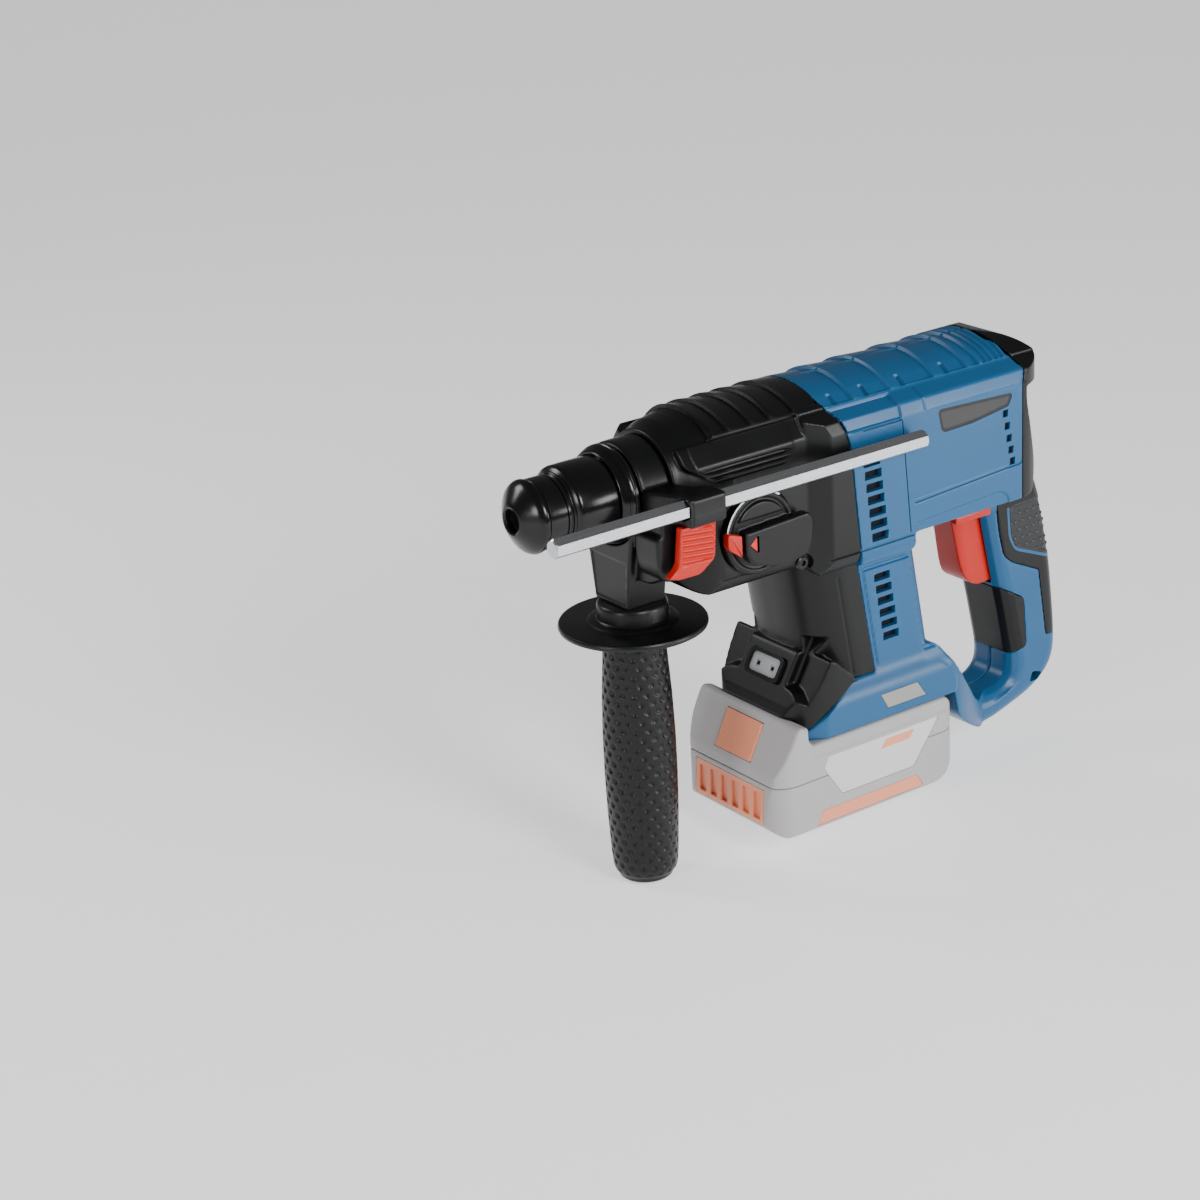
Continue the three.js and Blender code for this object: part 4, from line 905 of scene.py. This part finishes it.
def build_side_handle():
    ring = revolve("x", [(60, 21.3), (60, 22.3), (60.7, 23), (62, 23.2), (74, 23.4), (75, 23.2), (75.5, 22.5),
        (75.5, 21.3)])
    saddle = prism("x", [(-18.6, -13), (-15, -33), (-12.2, -52.6), (12.2, -52.6), (15, -33), (18.6, -13)],
        55.8, 77.4, edge=0.9)
    arm = prism("z", [(60, -14), (75.5, -14), (79, -30, 4), (87.2, -37.5, 2), (87.2, -48.4, 2),
        (66.5, -48.4, 2), (66.5, -41, 2),
                      (60, -27, 4)], -7.2, 6.2, edge=1.6)
    web = prism("x", [(-12, -10), (-13, -38, 3), (-24, -38, 4), (-35.6, -32.5, 3), (-35.6, -6), (-20, 4)], 60,
        77.2, edge=1.2)
    lug = prism("y", [(57.5, -12, 3), (77.3, -12, 3), (77.3, -30, 4), (70, -35, 4), (60, -34, 4),
        (57.5, -26, 4)], -35.8, -18, edge=1.5)
    body = join(ring, saddle, arm, web, lug)
    body = cut(
        body,
        revolve("x", [(50, 0), (50, 23.6), (59.4, 23.6), (59.4, 21.3), (75.7, 21.3), (75.7, 26.8), (90, 26.8),
        (90, 0)]),
        hexagon(50, 100, 9.0), revolve("z", [(-60, 0), (-60, 4.4), (-20, 4.4), (-20, 0)], (GRIP_X, 0, 0), 48),
    )
    remesh(body, 0.5, 3)

    def relief(x, y, z, n):
        front = step(-n[:, 0], 0.7, 0.9) * (x < 57)
        frame_x = np.abs(y) - (13.2 + (z + 52) * 0.08)
        inside = (1 - step(frame_x, -2.2, -1.6)) * band(z, -50.5, -30, 0.4)
        h = -0.5 * front * inside
        block = (np.abs(y + 48.4) < 1.2) * step(np.abs(n[:, 1]), 0.7, 0.9)
        return h - 0.35 * block * band(x, 67.6, 68.6, 0.3)

    displace(body, relief)
    place(body, "handle_clamp", "side_handle", BLACK, ["clamp_body"], angle=40)

    guard = revolve("z", [
        (-53, 4.4), (-53, 15.0), (-53.4, 15.7), (-54.2, 16.2), (-55.2, 16.5), (-60.4, 16.6), (-61, 17.2),
        (-61.3, 19.6), (-61.9, 20.6), (-62.5, 21.2), (-62.7, 22), (-62.6, 33.0), (-62.9, 34.0), (-63.6, 34.5),
        (-64.6, 34.6), (-65.4, 34.3), (-65.8, 33.6), (-65.4, 32.4), (-64.6, 30), (-64.4, 20), (-65.2, 18),
        (-65.4, 17), (-65.4, 4.4),
    ], (GRIP_X, 0, 0), 160)
    place(guard, "hand_guard", "side_handle", BLACK, ["handle_guard"])

    along, around = 210, 168
    keys = [(-65.8, 14.2), (-72, 14.5), (-80, 15), (-100, 16.3), (-120, 17.0), (-140, 17.1), (-160, 16.7),
        (-180, 15.8),
            (-186, 15.2), (-189.5, 14.0), (-191.6, 12.4), (-192.7, 10.2), (-193, 8)]
    zs = np.linspace(-65.8, -193, along)
    radii = np.interp(-zs, [-k[0] for k in keys], [k[1] for k in keys])
    profile = [(-65.8, 4.4)] + list(zip(zs, radii)) + [(-193, 0), (-100, 0), (-100, 4.4)]
    grip = revolve("z", profile, (GRIP_X, 0, 0), around)

    def dimples(x, y, z, n):
        angle = np.arctan2(y, x - GRIP_X)
        columns, pitch = 18, 4.4
        u = angle / (2 * math.pi) * columns
        row = np.floor(z / pitch)
        u = u + 0.5 * (row % 2)
        du = (u - np.floor(u) - 0.5) * (2 * math.pi / columns) * 16.5
        dv = z - (row + 0.5) * pitch
        outer = step(np.hypot(x - GRIP_X, y), 12, 13) * band(z, -187, -72, 1.0)
        lip = band(z, -190.6, -188.6, 0.3)
        return -0.75 * outer * (1 - step(np.hypot(du, dv), 0.9, 1.6)) - 0.6 * lip

    displace(grip, dimples)
    place(grip, "side_grip_skin", "side_grip", RUBBER, ["handle_grip"], angle=60)

    button = prism("y", [(65.5, -7.8), (84.7, -7.8), (83.6, -25.7, 2), (75, -31.5, 2), (62.8, -31.2),
        (57.8, -29.4), (63.6, -25.4, 3)],
                   -43, -38.6, edge=0.7)
    remesh(button, 0.35, 2)

    def ribs(x, y, z, n):
        face = step(-n[:, 1], 0.5, 0.8) * band(x, 65.4, 83.5, 0.5) * band(z, -25.5, -9.5, 0.5)
        return -0.75 * face * (0.5 + 0.5 * np.cos((z + 0.12 * x) * 2 * math.pi / 2.6)) ** 0.7

    displace(button, ribs)
    place(button, "rod_lock_button", "rod_release", RED, ["rod_button"])
    mark = many([
        prism("z", [(85.4, -47.0), (87.24, -47.0), (87.24, -41), (85.4, -41)], -4.6, -3.6),
        prism("z", [(85.4, -47.0), (87.24, -47.0), (87.24, -41), (85.4, -41)], -2.2, -1.2),
    ])
    place(mark, "scale_marks", "side_handle", WHITE)


def hexagon(low, high, flats):
    r = flats / math.sqrt(3)
    return prism("x", [(-43.3 + r * math.sin(i * math.pi / 3),
        0.8 + r * math.cos(i * math.pi / 3)) for i in range(6)], low, high)


# ---------------------------------------------------------------- controls


def build_selector():
    disc = revolve("y", [
        (-29.6, 0), (-29.6, 19.6), (-32.6, 19.8), (-33.6, 19.2), (-34, 18.6), (-34, 17.2), (-33.5, 16.9),
        (-33.3, 16), (-33.3, 0),
    ], DIAL, 128)
    stem = revolve("y", [(-30, 0), (-30, 6), (-21, 6), (-21, 0)], DIAL, 48)
    moon = common(
        revolve("y", [(-33, 0), (-33, 15.2), (-34.4, 15.2), (-34.8, 14.6), (-34.8, 0)], DIAL, 128),
        box((90, 150), (-60, 0), (-16.5, 0)),
    )
    lever = prism("y", [(104.4, -21.3), (141.5, -19.8, 2), (143.4, -24, 2), (142.4, -36, 4), (138, -40.5, 4),
        (124, -42, 6),
                        (108, -37.4, 5), (104.4, -31.5, 2)], -38.8, -33.2, edge=1.0)
    body = join(disc, stem, moon, lever)
    remesh(body, 0.4, 2)
    body = cut(body, prism("y", [(106.2, -27.5), (110.2, -23.8), (111.6, -23.8), (111.6, -31.6),
        (110.2, -31.6)], -45, -37.4))
    place(body, "mode_dial", "selector", BLACK, ["selector_knob"], angle=40)
    arrow = prism("y", [(106.8, -27.5), (110.6, -24.4), (110.6, -31.2)], -38.5, -37.5)
    place(arrow, "mode_arrow", "selector", RED, ["selector_pointer"])
    arc = revolve("y", [(-33.6, 19.0), (-33.6, 19.9), (-34.0, 19.9), (-34.0, 19.0)], DIAL, 160)
    arc = common(arc, prism("y", [(91.5, -27), (91.5, 0), (128.5, 0), (128.5, -9), (112.5, -14),
        (110.5, -24)], -60, 0))
    place(arc, "mode_arc", "selector", STEEL)
    lock = prism("y", [(94.6, -19.2, 2), (102.5, -21.9, 0.6), (102.5, -32.4, 0.6), (94.6, -26.5, 2)], -38.3,
        -34.3, edge=0.5)
    place(lock, "mode_lock", "selector_lock", RED, ["selector_button"])


def build_trigger():
    outline = [(256.4, -60.5, 1), (258.2, -70, 8), (261.8, -89, 8), (265.5, -96, 5), (272, -99.2, 4),
        (277.5, -98.8, 2), (281.6, -98.6),
               (276.5, -60.5)]
    trigger = prism("y", outline, -9.2, 9.2)
    plan = mirrored([(256.0, 2, 2), (257.6, 6.4, 3), (261.5, 9.2, 3), (286, 9.2)])
    ring = rounded(plan, 0, 5)
    rings = [[(x - 0.14 * (z + 75), y, z) for x, y in ring] for z in (-110, -55)]
    trigger = common(trigger, new_object("round", *loft(rings)))
    remesh(trigger, 0.4, 4)
    place(trigger, "trigger_key", "trigger_body", RED, ["trigger"])
    switch = prism("x", [(-25.4, -56.1, 0.5), (-25.4, -52.6, 1), (-23, -50.7, 1), (23, -50.7, 1),
        (25.4, -52.6, 1), (25.4, -56.1, 0.5)],
                   243.3, 266.1, edge=0.7)
    place(switch, "direction_bar", "direction_body", RED, ["direction_switch"])


# ---------------------------------------------------------------- battery


def pack_block():
    outline = [
        (119, -160), (118, -176, 3), (123.5, -181, 3), (222, -181, 6), (231, -172, 6), (231, -143, 5),
        (225, -137, 2), (141, -137), (138.7, -134), (138.4, -127.4, 1), (133.6, -126, 1), (131.5, -127.6),
        (120.4, -149.5, 2),
    ]
    plan = mirrored([(117.9, 27.5, 5), (120.5, 33, 5), (127, 37.5, 5), (226, 37.5, 5), (232, 32.5, 4)])
    return common(prism("y", outline, -PACK_HALF, PACK_HALF, edge=1.6), prism("z", plan, -190, -110, steps=6))


LABEL = [(150, -145.5, 1), (219.5, -145.5, 1), (203, -167, 1), (158, -167, 1), (147, -151, 1)]
STRIP = [(146, -172.4, 0.5), (205, -172.4, 1), (209, -179, 1), (142, -179, 0.5)]


def build_battery():
    whole = pack_block()
    upper = common(copy(whole), box((100, 240), (-60, 60), (-154.85, -100)))
    lower = common(whole, box((100, 240), (-60, 60), (-200, -155.15)))
    remesh(upper, 0.7, 3)
    remesh(lower, 0.7, 3)

    def upper_relief(x, y, z, n):
        side = step(np.abs(y), 36.3, 37.2) * step(np.abs(n[:, 1]), 0.7, 0.9)
        frame_line = band(z, -144.2, -143.2, 0.3) * band(x, 141, 226, 1)
        return -0.5 * side * frame_line

    displace(upper, upper_relief)
    upper = cut(upper, pack_button(0.3, 5), side_pair(LABEL, 0.25, 0.8))
    lower = cut(lower, box((110, 121.7), (-26.3, 26.3), (-175.9, -157.3)), side_pair(LABEL, 0.25, 0.8),
        side_pair(STRIP, 0.25, 0.8))
    upper = join(upper, box((146, 222), (-26, 26), (-138, -128.4)))
    place(upper, "pack_top", "battery", PACK, ["battery_upper"], angle=38)
    place(lower, "pack_tray", "battery", PACK, ["battery_lower"], angle=38)
    for part, outline, finish, level in (("label", LABEL, PACK_LIGHT, 0.15), ("strip", STRIP, SALMON, 0.1)):
        piece = many([side_slab(s, rounded(outline), PACK_HALF - level, 36.8) for s in (-1, 1)])
        place(piece, f"pack_{part}", "battery", finish, [f"battery_{part}"])
    tag = many([side_slab(s, [(186, -147.4), (204, -147.4), (200.5, -151.6), (182.5, -151.6)],
        PACK_HALF - 0.05, PACK_HALF - 0.2) for s in (-1, 1)])
    place(tag, "pack_label_tag", "battery", SALMON)
    button = pack_button(0.0, 3, 0.8)
    remesh(button, 0.4, 2)
    place(button, "pack_button", "battery_release", SALMON, ["battery_button"])
    grille = common(box((116.5, 121.4), (-26, 26), (-175.6, -157.6)), pack_block())
    slots = []
    for i in range(6):
        y = -20.8 + 8.3 * i
        outline = [(y - 2.7, -173.4), (y + 2.7, -173.4), (y + 2.7, -160), (y - 2.7, -160)]
        slots.append(prism("x", outline, 110, 119.9, corner=1))
    grille = cut(grille, many(slots))
    place(grille, "pack_grille", "battery", SALMON, ["battery_grille"])


def side_pair(outline, grow, depth):
    return many([side_slab(s, inset(rounded(outline), -grow), 50, PACK_HALF - depth) for s in (-1, 1)])


def pack_button(grow, deep, edge=0.0):
    top, foot = np.array([130.2, -130.2]), np.array([121.4, -147.5])
    down = (foot - top) / np.linalg.norm(foot - top)
    out = np.array([down[1], -down[0]])

    def at(base, along, height):
        p = base + down * along + out * height
        return (p[0], p[1])

    ring = [at(top, -grow, 0.7 + grow), at(foot, grow, 0.7 + grow), at(foot, grow, -deep),
        at(top, -grow, -deep)]
    return prism("y", ring, -13.5 - grow, 13.5 + grow, edge=edge)


# ---------------------------------------------------------------- what stays as CAD

INNER = {
    "depth_rod": STEEL, "stator": COPPER, "hammer_tube": DARK_STEEL, "rotor_core": DARK_STEEL,
        "cell_pack": GREY,
    "fan": BLACK, "switch_module": BLACK, "terminal_block": BLACK, "control_board": BOARD,
    "left_plate": PLATE, "right_plate": PLATE,
}


def finish_cad_nodes():
    for name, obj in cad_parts.items():
        if obj.hide_render:
            continue
        mat = INNER.get(name, DARK_STEEL if name.startswith("screw") else STEEL)
        obj.data.materials.clear()
        obj.data.materials.append(mat)
        bevel = obj.modifiers.new("edge", "BEVEL")
        bevel.width = 0.00025
        bevel.segments = 2
        bevel.limit_method = "ANGLE"
        bevel.angle_limit = math.radians(35)
        bevel.harden_normals = True
        obj.data.polygons.foreach_set("use_smooth", [True] * len(obj.data.polygons))
        obj.data.set_sharp_from_angle(angle=math.radians(32))


# ---------------------------------------------------------------- stage


def build_stage():
    floor_z = CAD_BOX[0][2] - 0.0003
    bpy.ops.mesh.primitive_plane_add(size=60, location=(0, 0, floor_z))
    floor = bpy.context.object
    floor.name = "floor"
    floor.data.materials.append(floor_look())
    world = bpy.data.worlds.new("studio")
    world.use_nodes = True
    world.node_tree.nodes["Background"].inputs["Color"].default_value = (1.0, 1.0, 1.0, 1)
    world.node_tree.nodes["Background"].inputs["Strength"].default_value = 0.17
    scene.world = world
    for name, at, size, power in (
        ("key", (-0.10, -1.25, 0.75), 0.40, 13.0), ("right", (0.75, -1.15, 0.27), 0.45, 9.0),
        ("left", (-1.30, -0.30, 0.45), 0.30, 4.5), ("rim", (-0.70, 0.85, 0.75), 0.35, 4.0),
    ):
        lamp = bpy.data.lights.new(name, "AREA")
        lamp.size = size
        lamp.energy = power
        obj = bpy.data.objects.new(name, lamp)
        obj.location = at
        obj.rotation_euler = (Vector((0, 0, 0.1)) - Vector(at)).to_track_quat("-Z", "Y").to_euler()
        scene.collection.objects.link(obj)


def floor_look():
    """Pale studio paper, lit a little from below."""
    mat = look("studio_floor", (0.86, 0.86, 0.86), 0.6, grain=0.0, edge_wear_and_highlight=0.0, tint=0.01)
    bsdf = mat.node_tree.nodes["Principled BSDF"]
    bsdf.inputs["Emission Color"].default_value = (1, 1, 1, 1)
    bsdf.inputs["Emission Strength"].default_value = 0.75
    return mat


def build_camera():
    a, e, roll = math.radians(-34.59), math.radians(21.44), math.radians(3.35)
    back = Vector((math.sin(a) * math.cos(e), -math.cos(a) * math.cos(e), math.sin(e)))
    r = Vector((math.cos(a), math.sin(a), 0))
    d = -back
    u = r.cross(d)
    right = r * math.cos(roll) - u * math.sin(roll)
    up = u * math.cos(roll) + r * math.sin(roll)
    cam = bpy.data.cameras.new("camera")
    cam.lens = 81.04
    cam.sensor_width = 36
    obj = bpy.data.objects.new("camera", cam)
    at = Vector(((-593.44 + OX) / 1000, -932.76 / 1000, (395.98 + OZ) / 1000))
    obj.matrix_world = Matrix((
        (right.x, up.x, -d.x, at.x), (right.y, up.y, -d.y, at.y), (right.z, up.z, -d.z, at.z), (0, 0, 0, 1),
    ))
    scene.collection.objects.link(obj)
    scene.camera = obj


build_camera()
build_stage()
build_blue()
build_inserts()
build_rear()
build_front_grip()
build_gear_housing()
build_motor_cover()
build_chuck()
build_side_handle()
build_selector()
build_trigger()
build_battery()
finish_cad_nodes()
